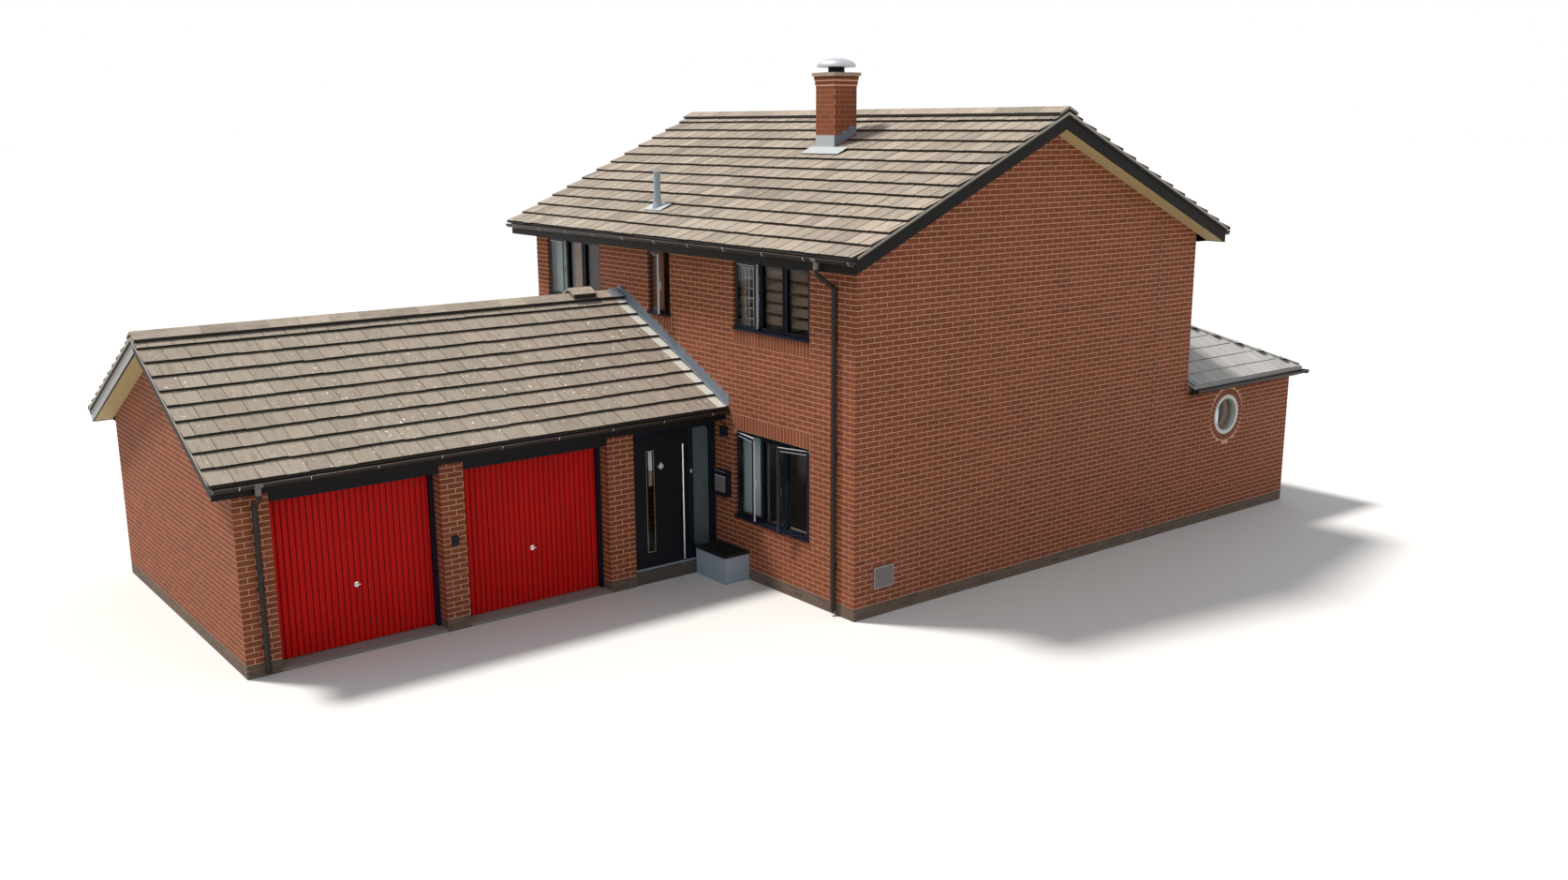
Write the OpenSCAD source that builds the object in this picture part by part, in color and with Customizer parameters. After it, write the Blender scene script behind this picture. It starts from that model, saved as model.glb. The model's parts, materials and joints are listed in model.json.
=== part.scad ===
// Detached brick house with a front garage wing and a rear extension.
// The house is drawn from its front right ground corner: X along the front, Y to the rear, Z up.

/* [Main house] */
// Length of the main house along the front
main_w = 8650; // [8300:10:9600]
// Depth of the main house from front to rear
main_d = 7300; // [6900:10:8200]
// Thickness of the cavity walls
wall_t = 300; // [250:5:350]
// Height of the rafter backs where they meet the fascia
eaves_z = 5011; // [4950:1:5300]
// Pitch of the main roof in degrees
main_pitch = 24.5; // [20:0.5:30]
// Projection of the main fascia from the wall
eaves_over = 300; // [220:5:400]
// Projection of the verge tiles from the gable wall
verge_over = 370; // [250:5:450]

/* [Roof build-up] */
// Upright thickness of battens and tiles
roof_t = 95; // [70:1:130]
// Thickness of the lowest tiles past the fascia
lip_t = 30; // [20:1:45]
// Projection of the main roof's lowest tiles past the fascia
tile_over = 90; // [50:1:110]
// Projection of the wing's lowest tiles past the fascia
wing_tile_over = 85; // [50:1:110]
// Set-back of the bargeboard from the tile ends
barge_back = 30; // [15:1:60]
// Thickness of the bargeboards
barge_t = 25; // [18:1:40]
// Upright depth of the main bargeboards
barge_h = 185; // [150:1:240]
// Upright depth of the wing bargeboards
wing_barge_h = 165; // [130:1:200]
// Thickness of the fascia boards
fascia_t = 20; // [15:1:30]
// Thickness of the soffit boards
soffit_t = 12; // [6:1:20]
// Gap at the plumb joint of two bargeboards
board_gap = 1; // [0.5:0.5:3]
// Reach of a ridge tile to each side
ridge_reach = 190; // [150:5:240]
// Thickness of the ridge tiles over the slope
ridge_t = 39; // [25:1:60]
// Distance of the wing's ridge vent tile from the front wall
ridge_vent_y = 450; // [300:10:600]
// Length of the ridge vent tile
ridge_vent_l = 600; // [400:10:700]
// Width of the neck under the ridge vent tile
ridge_vent_w = 240; // [160:10:280]
// Rise of the ridge vent tile over the ridge tiles
ridge_vent_rise = 45; // [30:1:60]
// Set-back of the neck from the vent tile's ends
ridge_vent_in = 30; // [10:1:60]
// Bedding gap under the slopes, the ridge tiles and the lead
bedding = 0.3; // [0.2:0.1:0.8]

/* [Floors] */
// Top of the ground floor
ground_floor_z = 200; // [160:5:260]
// Thickness of the ground floor slab
ground_slab_t = 150; // [100:5:180]
// Underside of the first floor
ceiling_z = 2550; // [2500:5:2600]
// Thickness of the first floor
first_floor_t = 240; // [200:5:300]
// Thickness of the garage floor
garage_slab_t = 40; // [30:1:60]
// Depth of the raised hall floor behind the front door
hall_depth = 1500; // [1200:10:2000]

/* [Windows] */
// Width of the wide windows
win_w = 1770; // [1500:10:1800]
// Width of the narrow window
narrow_w = 630; // [500:10:700]
// Distance of the right hand windows from the right gable
right_win_x = 965; // [900:5:1200]
// Distance of the narrow window from the right gable
narrow_win_x = 4395; // [4200:5:4600]
// Distance of the left hand windows from the left gable
left_win_x = 385; // [350:5:700]
// Height of the upper windows
upper_win_h = 1050; // [950:5:1060]
// Head height of the upper windows
upper_head_z = 4826; // [4800:1:4850]
// Height of the ground floor windows
lower_win_h = 1350; // [1100:5:1400]
// Head height of the ground floor windows
lower_head_z = 2265; // [2200:5:2300]
// Set-back of the window frames from the wall face
frame_back = 50; // [20:5:100]
// Depth of the window frames
frame_d = 70; // [50:5:90]
// Width of a frame member
frame_w = 55; // [40:1:70]
// Thickness of a sealed glass unit
glass_t = 24; // [6:1:28]
// Projection of a window sill board
sill_over = 30; // [15:1:45]
// Thickness of a window sill board
sill_t = 30; // [20:1:40]
// Width of a casement's members
sash_w = 45; // [35:1:55]
// Thickness of a casement
sash_t = 30; // [26:1:40]
// Lap of a closed casement over the window frame
sash_lap = 12; // [8:1:16]
// Gap between a casement and the sill board
sash_gap = 3; // [2:1:8]
// Set-back of a casement's glass from its faces
sash_glass_back = 6; // [3:1:10]
// Opening angle of the upper right window's left casement in degrees
upper_right_ajar = 4; // [0:0.5:30]
// Opening angle of the narrow window's casement in degrees
narrow_ajar = 21.5; // [0:0.5:30]
// Opening angle of the upper left window's left casement in degrees
upper_left_ajar = 3.5; // [0:0.5:30]
// Opening angle of the ground floor window's left casement in degrees
lower_left_ajar = 11; // [0:0.5:30]
// Opening angle of the ground floor window's right casement in degrees
lower_right_ajar = 18; // [0:0.5:30]

/* [Garage wing] */
// Distance of the door wall from the right gable
wing_x = 3155; // [3050:5:3300]
// Projection of the wing in front of the main house
wing_l = 7222; // [7200:2:7600]
// Thickness of the wing walls
wing_wall_t = 215; // [200:5:250]
// Height of the wing rafter backs at the fascia
wing_eaves_z = 2545; // [2530:1:2620]
// Pitch of the wing roof in degrees
wing_pitch = 25.5; // [22:0.5:26]
// Projection of the wing fascia from the wall
wing_over = 200; // [160:5:260]
// Projection of the wing verge tiles from the end wall
wing_verge = 310; // [250:5:400]
// Depth of the piers of the door wall
pier_d = 327; // [300:1:330]
// Width of the end piers of the door wall
end_pier_w = 440; // [400:1:450]
// Width of the pier between the doors
mid_pier_w = 337; // [300:1:350]
// Width of each garage doorway
garage_open_w = 2240; // [2180:5:2260]

/* [Garage doors] */
// Set-back of the door leaves from the pier faces
leaf_back = 270; // [240:5:285]
// Width of a frame post
post_w = 50; // [40:1:60]
// Depth of a frame post
post_d = 60; // [40:1:70]
// Gap between a leaf and the frame in front of it
leaf_front_gap = 6; // [5:0.5:10]
// Gap beside a leaf
leaf_side_gap = 8; // [6:1:15]
// Height of a leaf's lower edge
leaf_z = 50; // [48:1:70]
// Height of a leaf
leaf_h = 2100; // [2050:5:2100]
// Height of the frame head member
head_h = 60; // [40:1:70]
// Gap over a leaf
leaf_top_gap = 12; // [8:1:20]
// Number of ribs on a leaf
rib_count = 26; // [18:1:32]
// Depth of a rib
rib_d = 10; // [5:1:14]
// Thickness of the pressed sheet
sheet_t = 8; // [4:1:12]
// Section of the stiffening frame behind the sheet
stiffener = 32; // [25:1:40]
// Height of the pivot over a leaf's lower edge
pivot_h = 700; // [600:10:800]
// Travel of the pivot when a leaf opens
pivot_travel = 1250; // [1100:10:1300]
// Radius of the pivot pins
pin_r = 6; // [4:0.5:8]
// Running clearance round a pivot pin
pin_gap = 0.08; // [0.05:0.01:0.1]
// Radius of the rollers
roller_r = 18; // [14:1:20]
// Width of the rollers
roller_w = 16; // [10:1:20]
// Running clearance of a roller in its track
roller_gap = 0.5; // [0.3:0.1:1]
// Thickness of the track walls
track_t = 3; // [2:0.5:4]
// Width of a rib's flank for each millimetre of rib pitch
rib_flank = 0.16; // [0.08:0.01:0.24]
// Depth of the pin holes in the sides of a leaf
pin_in = 26; // [18:1:30]
// Gap between a pin's end and the bottom of its hole
pin_end_gap = 2; // [1:0.5:4]
// Radius of the round handle plate
handle_r = 35; // [25:1:45]
// Thickness of the round handle plate
handle_plate_t = 6; // [3:1:10]
// Distance of the handle's bar from the leaf's face
handle_off = 34; // [25:1:50]
// Radius of the handle's stem
handle_stem_r = 9; // [6:0.5:12]
// Length of the handle's bar
handle_bar_l = 90; // [70:5:120]
// Radius of the handle's bar
handle_bar_r = 8; // [5:0.5:10]
// Height of the handle over a leaf's lower edge
handle_h = 800; // [700:10:1000]

/* [Entrance] */
// Set-back of the entrance frame from the pier face
entry_back = 100; // [60:5:150]
// Width of the entrance frame's left post
entry_post_w = 60; // [45:1:80]
// Width of the front door leaf
door_w = 929; // [860:1:940]
// Thickness of the front door leaf
door_t = 48; // [40:1:60]
// Running gap round the front door leaf
door_gap = 8; // [7.5:0.5:10]
// Radius of a hinge knuckle
hinge_r = 7; // [6:0.5:7]
// Distance of the hinge axis behind the leaf's inner face
hinge_off = 13; // [12:0.5:14]
// Distance of the hinge axis from the leaf's edge
hinge_in = 5; // [5:0.5:8]
// Set-back of a hinge's web from the sides of its knuckle
hinge_web_in = 2; // [1:0.5:3]
// Radius of a hinge pin
hinge_pin_r = 4; // [3:0.5:4.5]
// Height of a hinge knuckle
knuckle_h = 50; // [35:5:70]
// Running gap between two knuckles
knuckle_gap = 1; // [0.5:0.5:2]
// Distance of the outer hinges from the leaf's ends
hinge_end = 250; // [150:10:400]
// Width of the post between the door and the side light
entry_mullion_w = 100; // [60:1:120]
// Height of the entrance frame head
entry_head_z = 2330; // [2300:5:2350]
// Height of the entrance frame head member
entry_head_h = 70; // [50:1:80]
// Height of the entrance sill over the ground
entry_sill_z = 222; // [205:1:240]
// Projection of the entrance frame over the leaf's face
entry_front = 12; // [5:1:20]
// Thickness of the entrance frame's sill
entry_sill_t = 22; // [15:1:40]
// Projection of the round nose of the door's sill
sill_nose = 45; // [30:1:60]
// Height of the side light's bottom rail
side_rail_h = 60; // [40:5:100]
// Set-back of the entrance step and its lintel from the pier faces
step_back = 20; // [5:1:40]
// Distance of the glass slot from the leaf's hinge edge
slot_in = 215; // [150:5:300]
// Width of the glass slot
slot_w = 120; // [80:5:160]
// Height of the glass slot over the leaf's lower edge
slot_foot = 230; // [180:5:300]
// Distance of the glass slot's top from the leaf's upper edge
slot_drop = 250; // [150:5:300]
// Set-back of the slot's glass from the leaf's faces
slot_glass_back = 12; // [6:1:16]
// Width of the doorway between the hall and the house
inner_door_w = 900; // [800:10:950]
// Height of the doorway between the hall and the house
inner_door_h = 2050; // [1950:10:2100]
// Distance of that doorway from the back of the piers
inner_door_in = 60; // [20:5:100]
// Radius of the long pull bar
pull_r = 15; // [10:1:20]
// Length of the long pull bar
pull_l = 1800; // [1200:10:1800]
// Height of the pull bar's middle under the middle of the leaf
pull_drop = 85; // [0:5:90]
// Distance of the pull bar's axis from the leaf's face
pull_off = 60; // [45:1:80]
// Distance of the pull bar's axis from the leaf's free edge
pull_edge = 105; // [70:5:150]
// Radius of the pull bar's brackets
bracket_r = 9; // [6:0.5:10]
// Distance of the brackets from the bar's ends
bracket_end = 150; // [80:10:300]
// Height of the diamond plate's middle
plate_z = 1749; // [1650:1:1850]
// Half diagonal of the diamond plate
plate_r = 60; // [40:1:70]
// Thickness of the diamond plate
plate_t = 8; // [3:0.5:12]

/* [Chimney and vent] */
// Width and depth of the chimney stack
stack_w = 450; // [400:5:500]
// Distance of the stack from the right gable
stack_x = 3335; // [3200:5:3500]
// Distance of the stack's front face from the front wall
stack_y = 2440; // [2300:5:2600]
// Height of the top of the stack's plain brickwork
stack_z = 7290; // [7250:5:7600]
// Depth of the stack's foot under the rafter backs
stack_in = 60; // [20:5:100]
// Height of the projecting courses
corbel_h = 150; // [75:75:225]
// Number of projecting courses
corbel_n = 2; // [1:1:3]
// Projection of the highest course
corbel_over = 22; // [10:1:30]
// Thickness of the capping slab
cap_t = 55; // [40:1:80]
// Projection of the capping slab over the highest course
cap_over = 28; // [15:1:50]
// Radius of the cowl's dome
cowl_r = 310; // [250:5:330]
// Height of the cowl's dome over its rim
cowl_dome_h = 125; // [80:5:160]
// Thickness of the cowl's rim
cowl_rim_t = 12; // [4:1:20]
// Radius of the cowl's neck
cowl_neck_r = 125; // [100:5:150]
// Height of the cowl's neck
cowl_neck_h = 88; // [60:1:120]
// Height of the lead flashing over the tiles
lead_h = 150; // [100:5:180]
// Thickness of the lead flashing
lead_t = 4; // [2:0.5:6]
// Number of steps in the stack's flashing
stack_steps = 3; // [2:1:6]
// Number of steps in each half of the wing's flashing
wing_steps = 18; // [8:1:24]
// Reach of the lead apron to the right of the stack
apron_right = 335; // [60:5:400]
// Reach of the lead apron to the left of the stack
apron_left = 120; // [60:5:400]
// Reach of the lead apron in front of the stack
apron_front = 220; // [120:5:300]
// Width of the lead base of the vent pipe
vent_base_w = 480; // [320:10:520]
// Depth of the lead base of the vent pipe
vent_base_d = 220; // [210:5:300]
// Height of the lead cone round the vent pipe
vent_cone_h = 90; // [60:5:150]
// Radius of the lead cone's foot
vent_cone_r = 99; // [80:1:104]
// Radius of the vent pipe
vent_r = 55; // [40:1:65]
// Distance of the vent pipe from the right gable
vent_x = 5317; // [5200:5:5500]
// Distance of the vent pipe from the front wall
vent_y = 404; // [300:5:600]
// Height of the top of the vent pipe
vent_z = 5985; // [5800:5:6200]

/* [Rear extension] */
// Width of the rear extension
ext_w = 4200; // [3600:10:4700]
// Depth of the rear extension
ext_l = 3000; // [2600:10:3600]
// Projection of the extension fascia from the wall
ext_over = 120; // [100:5:200]
// Pitch of the extension roof in degrees
ext_pitch = 25.5; // [20:0.5:26]
// Height of the extension rafter backs at the fascia
ext_eaves_z = 2420; // [2400:1:2450]
// Upright thickness of the extension slates and battens
ext_roof_t = 60; // [40:1:80]
// Projection of the lowest slates past the extension fascia
ext_slate_over = 30; // [15:1:45]
// Gap at the mitres of the extension slopes
mitre_gap = 0.5; // [0.3:0.1:1]
// Drop of the extension gutter below the lowest slates
ext_gutter_drop = 6; // [4:1:20]
// Depth of the extension fascia
ext_fascia_h = 110; // [80:1:120]
// Radius of the round window opening
round_r = 340; // [280:5:360]
// Width of the round window's ring
round_ring_w = 60; // [40:1:80]
// Distance of the round window from the main house
round_y = 1160; // [900:5:1400]
// Height of the round window's centre
round_z = 1820; // [1600:5:1900]

/* [Rainwater goods] */
// Outer radius of a gutter
gutter_r = 62; // [50:1:70]
// Thickness of a gutter
gutter_t = 4; // [3:0.5:5]
// Drop of the gutter below the rafter backs
gutter_drop = 8; // [5:1:40]
// Height of the flat back of a gutter
gutter_back_h = 40; // [20:1:50]
// Distance of the front downpipe from the right gable
front_pipe_x = 390; // [120:5:700]
// Distance of the rear downpipe from the left gable
rear_pipe_x = 190; // [100:5:250]
// Distance of the wing downpipes from the end wall
wing_pipe_y = 250; // [100:5:380]
// Fall of a downpipe's offset for each millimetre towards the wall
offset_fall = 0.68; // [0.4:0.02:1]
// Reach of the clips beside a downpipe
clip_reach = 12; // [6:1:20]
// Height of a clip
clip_h = 25; // [15:1:40]
// Thickness of the sockets at the bends
socket_t = 4; // [2:0.5:6]
// Radius of the downpipes
pipe_r = 34; // [30:1:38]
// Distance of a downpipe's axis from the wall
pipe_off = 50; // [42:1:60]
// Clear height under a downpipe
pipe_foot = 60; // [40:1:100]

/* [Wall fittings] */
// Width of the vent box on the gable wall
gable_vent_w = 365; // [300:5:420]
// Height of the vent box on the gable wall
gable_vent_h = 310; // [250:5:350]
// Projection of the vent box on the gable wall
gable_vent_d = 25; // [15:1:40]
// Distance of the vent box from the front wall
gable_vent_y = 348; // [250:1:500]
// Height of the vent box's underside
gable_vent_z = 400; // [300:5:500]
// Width of the mailbox
mailbox_w = 290; // [240:5:300]
// Height of the mailbox
mailbox_h = 400; // [320:5:440]
// Depth of the mailbox
mailbox_d = 110; // [80:5:140]
// Distance of the mailbox from the wing's door wall
mailbox_x = 35; // [20:5:80]
// Height of the mailbox's underside
mailbox_z = 1200; // [1100:10:1300]
// Width of the wall lamp
lamp_w = 100; // [80:5:120]
// Height of the wall lamp
lamp_h = 150; // [120:5:170]
// Projection of the wall lamp
lamp_d = 90; // [60:5:110]
// Distance of the wall lamp from the wing's door wall
lamp_x = 150; // [100:5:250]
// Height of the wall lamp's underside
lamp_z = 2130; // [2060:5:2180]
// Width of the small box on the middle pier
pier_box_w = 90; // [60:5:120]
// Height of the small box on the middle pier
pier_box_h = 130; // [90:5:160]
// Projection of the small box on the middle pier
pier_box_d = 40; // [25:1:60]
// Height of the small box's underside
pier_box_z = 1200; // [1100:10:1300]
// Gap between the corner planter and the wing's door wall
planter_gap = 5; // [1:1:20]
// Length of the corner planter along the front wall
planter_w = 750; // [600:10:1000]
// Depth of the corner planter
planter_d = 450; // [380:5:500]
// Height of the corner planter
planter_h = 440; // [380:5:500]
// Thickness of the planter's walls
planter_t = 50; // [30:5:70]
// Thickness of the planter's coping
coping_t = 30; // [20:1:45]
// Projection of the planter's coping
coping_over = 15; // [8:1:30]

/* [Hidden] */
$fn = 48;

brick = "sienna";
dark = [0.08, 0.08, 0.09];
tile = [0.45, 0.42, 0.38];
lead = [0.55, 0.6, 0.66];

// Slopes of the three roofs
main_tan = tan(main_pitch);
wing_tan = tan(wing_pitch);
ext_tan = tan(ext_pitch);

// Lines of the main roof
main_mid = main_d / 2;
main_tile_y = -eaves_over - tile_over;
main_soffit_z = eaves_z - barge_h;
function main_deck(y) = eaves_z + (eaves_over + min(y, main_d - y)) * main_tan;
function main_tiles(y) = main_deck(y) + roof_t;

// Lines of the wing roof; its ridge runs from front to rear
wing_half = (main_w - wing_x) / 2;
wing_mid = -wing_x - wing_half;
wing_soffit_z = wing_eaves_z - wing_barge_h;
function wing_deck(x) = wing_eaves_z + (wing_half + wing_over - abs(x - wing_mid)) * wing_tan;
function wing_tiles(x) = wing_deck(x) + roof_t;
wing_tile_half = wing_half + wing_over + wing_tile_over;

// Lines of the extension roof; its ridge runs from front to rear and its end is hipped
ext_half = ext_w / 2;
ext_mid = -ext_half;
ext_rear = main_d + ext_l;
ext_reach = ext_half + ext_over + ext_slate_over;
ext_end = ext_rear + ext_over + ext_slate_over;
ext_rise = ext_reach * ext_tan;
ext_edge_z = ext_eaves_z - ext_slate_over * ext_tan;
ext_wall_z = ext_eaves_z - ext_fascia_h;

// Gutter centres
main_gutter_y = eaves_over + gutter_r;
main_gutter_z = eaves_z - gutter_drop;
wing_gutter_x = wing_half + wing_over + gutter_r;
wing_gutter_z = wing_eaves_z - gutter_drop;
ext_gutter_off = ext_over + gutter_r;
ext_gutter_z = ext_edge_z - ext_gutter_drop;

// Heights of the clips as shares of a downpipe's straight length
clip_levels = [0.15, 0.5, 0.85];

// The part's own origin is under the middle of its box
box_right = verge_over;
box_left = -main_w - verge_over;
box_front = -wing_l - wing_verge;
box_rear = ext_rear + ext_over + 2 * gutter_r;
mid_x = (box_left + box_right) / 2;
mid_y = (box_front + box_rear) / 2;

// Door wall, from the far end of the wing to the main house
door_centres = [-wing_l + end_pier_w + garage_open_w / 2,
  -wing_l + end_pier_w + mid_pier_w + garage_open_w * 1.5];
entry_y = -wing_l + 2 * end_pier_w + mid_pier_w + 2 * garage_open_w;

// Garage leaf and its running gear
leaf_x = -wing_x - leaf_back;
leaf_w = garage_open_w - 2 * (post_w + leaf_side_gap);
leaf_t = sheet_t + rib_d + stiffener;
post_x = leaf_x + leaf_front_gap;
head_z = leaf_z + leaf_h + leaf_top_gap;
pivot_x = leaf_x - leaf_t + stiffener / 2;
pivot_z = leaf_z + pivot_h;
track_half = roller_r + roller_gap;
track_y = leaf_w / 2 + leaf_side_gap;
roller_y = track_y + roller_gap;
track_w = roller_w + 2 * roller_gap + track_t;

// Entrance
entry_x = -wing_x - entry_back;
leaf_left = entry_y + entry_post_w + door_gap;
leaf_right = leaf_left + door_w;
mullion_left = leaf_right + door_gap;
mullion_right = mullion_left + entry_mullion_w;
entry_right_w = entry_mullion_w;
door_low = entry_sill_z + door_gap;
door_high = entry_head_z - entry_head_h - door_gap;
hinge_x = entry_x - door_t - hinge_off;
hinge_y = leaf_left + hinge_in;
hinge_levels = [door_low + hinge_end, (door_low + door_high) / 2, door_high - hinge_end];
hinge_web = hinge_r - hinge_web_in;
slot_y = leaf_left + slot_in;
slot_low = door_low + slot_foot;
slot_high = door_high - slot_drop;
pull_y = leaf_right - pull_edge;

// Front and rear windows as left edge, width, number of lights, and their casements, each as the
// number of its light, its hinge side (-1 left, 1 right) and its opening angle at the front
upper_sill = upper_head_z - upper_win_h;
lower_sill = lower_head_z - lower_win_h;
upper_windows = [[-right_win_x - win_w, win_w, 3, [[0, -1, upper_right_ajar]]],
  [-narrow_win_x - narrow_w, narrow_w, 1, [[0, -1, narrow_ajar]]],
  [-main_w + left_win_x, win_w, 3, [[0, -1, upper_left_ajar]]]];
front_lower = [[-right_win_x - win_w, win_w, 3,
  [[0, -1, lower_left_ajar], [2, 1, lower_right_ajar]]]];
rear_lower = [[-main_w + left_win_x, win_w, 3, [[0, -1, 0], [2, 1, 0]]]];
function light_w(w) = (w[1] - frame_w * (w[2] + 1)) / w[2];
function light_x(w, i) = w[0] + frame_w + i * (light_w(w) + frame_w);
function opens(w, i) = len([for (c = w[3]) if (c[0] == i) i]) > 0;
sash_foot = sill_t + sash_gap;
function sash_wide(w) = light_w(w) + 2 * sash_lap;
function sash_high(height) = height - sash_foot - frame_w + sash_lap;
inner_door_x = -wing_x - pier_d - inner_door_in - inner_door_w;
ext_open_x = -right_win_x - win_w;

module house() {
  translate([-mid_x, -mid_y, 0]) children();
}

module block(lo, hi) {
  translate(lo) cube(hi - lo);
}

// Carries a profile drawn in Y and Z along X
module along_x(x0, x1) {
  translate([x0, 0, 0]) rotate([90, 0, 90]) linear_extrude(x1 - x0) children();
}

// Carries a profile drawn in X and Z along Y
module along_y(y0, y1) {
  translate([0, y1, 0]) rotate([90, 0, 0]) linear_extrude(y1 - y0) children();
}

// Window holes through a wall that runs along X
module holes(list, sill, height, y0, y1) {
  for (w = list) block([w[0], y0, sill], [w[0] + w[1], y1, sill + height]);
}

module front_wall() {
  color(brick) house() difference() {
    along_x(-main_w + wall_t, -wall_t)
      polygon([[0, 0], [wall_t, 0], [wall_t, main_deck(wall_t)], [0, main_deck(0)]]);
    holes(upper_windows, upper_sill, upper_win_h, -1, wall_t + 1);
    holes(front_lower, lower_sill, lower_win_h, -1, wall_t + 1);
    block([inner_door_x, -1, ground_floor_z],
      [inner_door_x + inner_door_w, wall_t + 1, ground_floor_z + inner_door_h]);
  }
}

module rear_wall() {
  color(brick) house() difference() {
    along_x(-main_w + wall_t, -wall_t)
      polygon([[main_d - wall_t, 0], [main_d, 0], [main_d, main_deck(main_d)],
        [main_d - wall_t, main_deck(main_d - wall_t)]]);
    holes(upper_windows, upper_sill, upper_win_h, main_d - wall_t - 1, main_d + 1);
    holes(rear_lower, lower_sill, lower_win_h, main_d - wall_t - 1, main_d + 1);
    block([ext_open_x, main_d - wall_t - 1, ground_floor_z],
      [ext_open_x + win_w, main_d + 1, ground_floor_z + inner_door_h]);
  }
}

module gable_wall(x0) {
  along_x(x0, x0 + wall_t)
    polygon([[0, 0], [main_d, 0], [main_d, main_deck(main_d)], [main_mid, main_deck(main_mid)],
      [0, main_deck(0)]]);
}

module right_gable_wall() {
  color(brick) house() gable_wall(-wall_t);
}

module left_gable_wall() {
  color(brick) house() gable_wall(-main_w);
}

module ground_floor() {
  low = ground_floor_z - ground_slab_t;
  color("tan") house() {
    block([-main_w + wall_t, wall_t, low], [-wall_t, main_d - wall_t, ground_floor_z]);
    block([-ext_w + wall_t, main_d, low], [-wall_t, ext_rear - wall_t, ground_floor_z]);
    block([-wing_x - pier_d - hall_depth, entry_y, garage_slab_t],
      [-wing_x - pier_d, 0, ground_floor_z]);
  }
}

module first_floor() {
  color("burlywood") house()
    block([-main_w + wall_t, wall_t, ceiling_z], [-wall_t, main_d - wall_t, ceiling_z + first_floor_t]);
}

module garage_floor() {
  color("silver") house() {
    block([-main_w + wing_wall_t, -wing_l + wing_wall_t, 0], [-wing_x - pier_d, 0, garage_slab_t]);
    for (c = door_centres)
      block([-wing_x - pier_d, c - garage_open_w / 2, 0], [-wing_x, c + garage_open_w / 2, garage_slab_t]);
  }
}

module pier(y0, w) {
  block([-wing_x - pier_d, y0, 0], [-wing_x, y0 + w, wing_soffit_z]);
}

module garage_piers() {
  color(brick) house() {
    pier(-wing_l, end_pier_w);
    pier(-wing_l + end_pier_w + garage_open_w, mid_pier_w);
    pier(entry_y - end_pier_w, end_pier_w);
  }
}

// Beam over the piers, dropped between them to the door heads
module garage_lintel() {
  color(dark) house() {
    along_y(-wing_l + wing_wall_t, 0)
      polygon([[-wing_x - pier_d, wing_soffit_z], [-wing_x, wing_soffit_z],
        [-wing_x, wing_deck(-wing_x)], [-wing_x - pier_d, wing_deck(-wing_x - pier_d)]]);
    for (c = door_centres)
      block([post_x, c - garage_open_w / 2, head_z + head_h],
        [-wing_x, c + garage_open_w / 2, wing_soffit_z]);
    block([-wing_x - pier_d, entry_y, entry_head_z], [-wing_x - step_back, 0, wing_soffit_z]);
  }
}

module garage_end_wall() {
  color(brick) house() along_y(-wing_l, -wing_l + wing_wall_t)
    polygon([[-main_w, 0], [-wing_x - pier_d, 0], [-wing_x - pier_d, wing_soffit_z],
      [-wing_x, wing_soffit_z], [-wing_x, wing_deck(-wing_x)], [wing_mid, wing_deck(wing_mid)],
      [-main_w, wing_deck(-main_w)]]);
}

module garage_side_wall() {
  color(brick) house() along_y(-wing_l + wing_wall_t, 0)
    polygon([[-main_w, 0], [-main_w + wing_wall_t, 0],
      [-main_w + wing_wall_t, wing_deck(-main_w + wing_wall_t)], [-main_w, wing_deck(-main_w)]]);
}

module extension_walls() {
  top = ext_edge_z + ext_rise;
  color(brick) house() intersection() {
    difference() {
      block([-ext_w, main_d, 0], [0, ext_rear, top]);
      block([-ext_w + wall_t, main_d - 1, -1], [-wall_t, ext_rear - wall_t, top + 1]);
      translate([-wall_t - 1, main_d + round_y, round_z]) rotate([0, 90, 0])
        cylinder(h = wall_t + 2, r = round_r);
      holes([ext_window], lower_sill, ext_win_h, ext_rear - wall_t - 1, ext_rear + 1);
    }
    union() {
      block([ext_mid - ext_reach, main_d, 0], [ext_mid + ext_reach, ext_end, ext_edge_z]);
      hipped();
    }
  }
}

// One slope of the main roof; the lower edge is at y0
module main_slope(y0, y1) {
  step = y0 < y1 ? -eaves_over : main_d + eaves_over;
  along_x(-main_w - verge_over, verge_over)
    polygon([[y0, main_tiles(y0) - lip_t], [step, main_tiles(step) - lip_t],
      [step, main_deck(step) + bedding], [y1, main_deck(y1) + bedding], [y1, main_tiles(y1)],
      [y0, main_tiles(y0)]]);
}

module stack_body(z0, z1, over = 0) {
  block([-stack_x - stack_w - over, stack_y - over, z0], [-stack_x + over, stack_y + stack_w + over, z1]);
}

stack_foot = main_deck(stack_y) - stack_in;

module roof_front_slope() {
  color(tile) house() difference() {
    main_slope(main_tile_y, main_mid);
    stack_body(stack_foot, stack_z);
  }
}

module roof_rear_slope() {
  color(tile) house() main_slope(main_d - main_tile_y, main_mid);
}

module wing_slope(side) {
  edge = wing_mid + side * wing_tile_half;
  step = wing_mid + side * (wing_half + wing_over);
  along_y(-wing_l - wing_verge, 0)
    polygon([[edge, wing_tiles(edge) - lip_t], [step, wing_tiles(step) - lip_t],
      [step, wing_deck(step) + bedding], [wing_mid, wing_deck(wing_mid) + bedding],
      [wing_mid, wing_tiles(wing_mid)], [edge, wing_tiles(edge)]]);
}

module garage_roof_right() {
  color(tile) house() wing_slope(1);
}

module garage_roof_left() {
  color(tile) house() wing_slope(-1);
}

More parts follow.
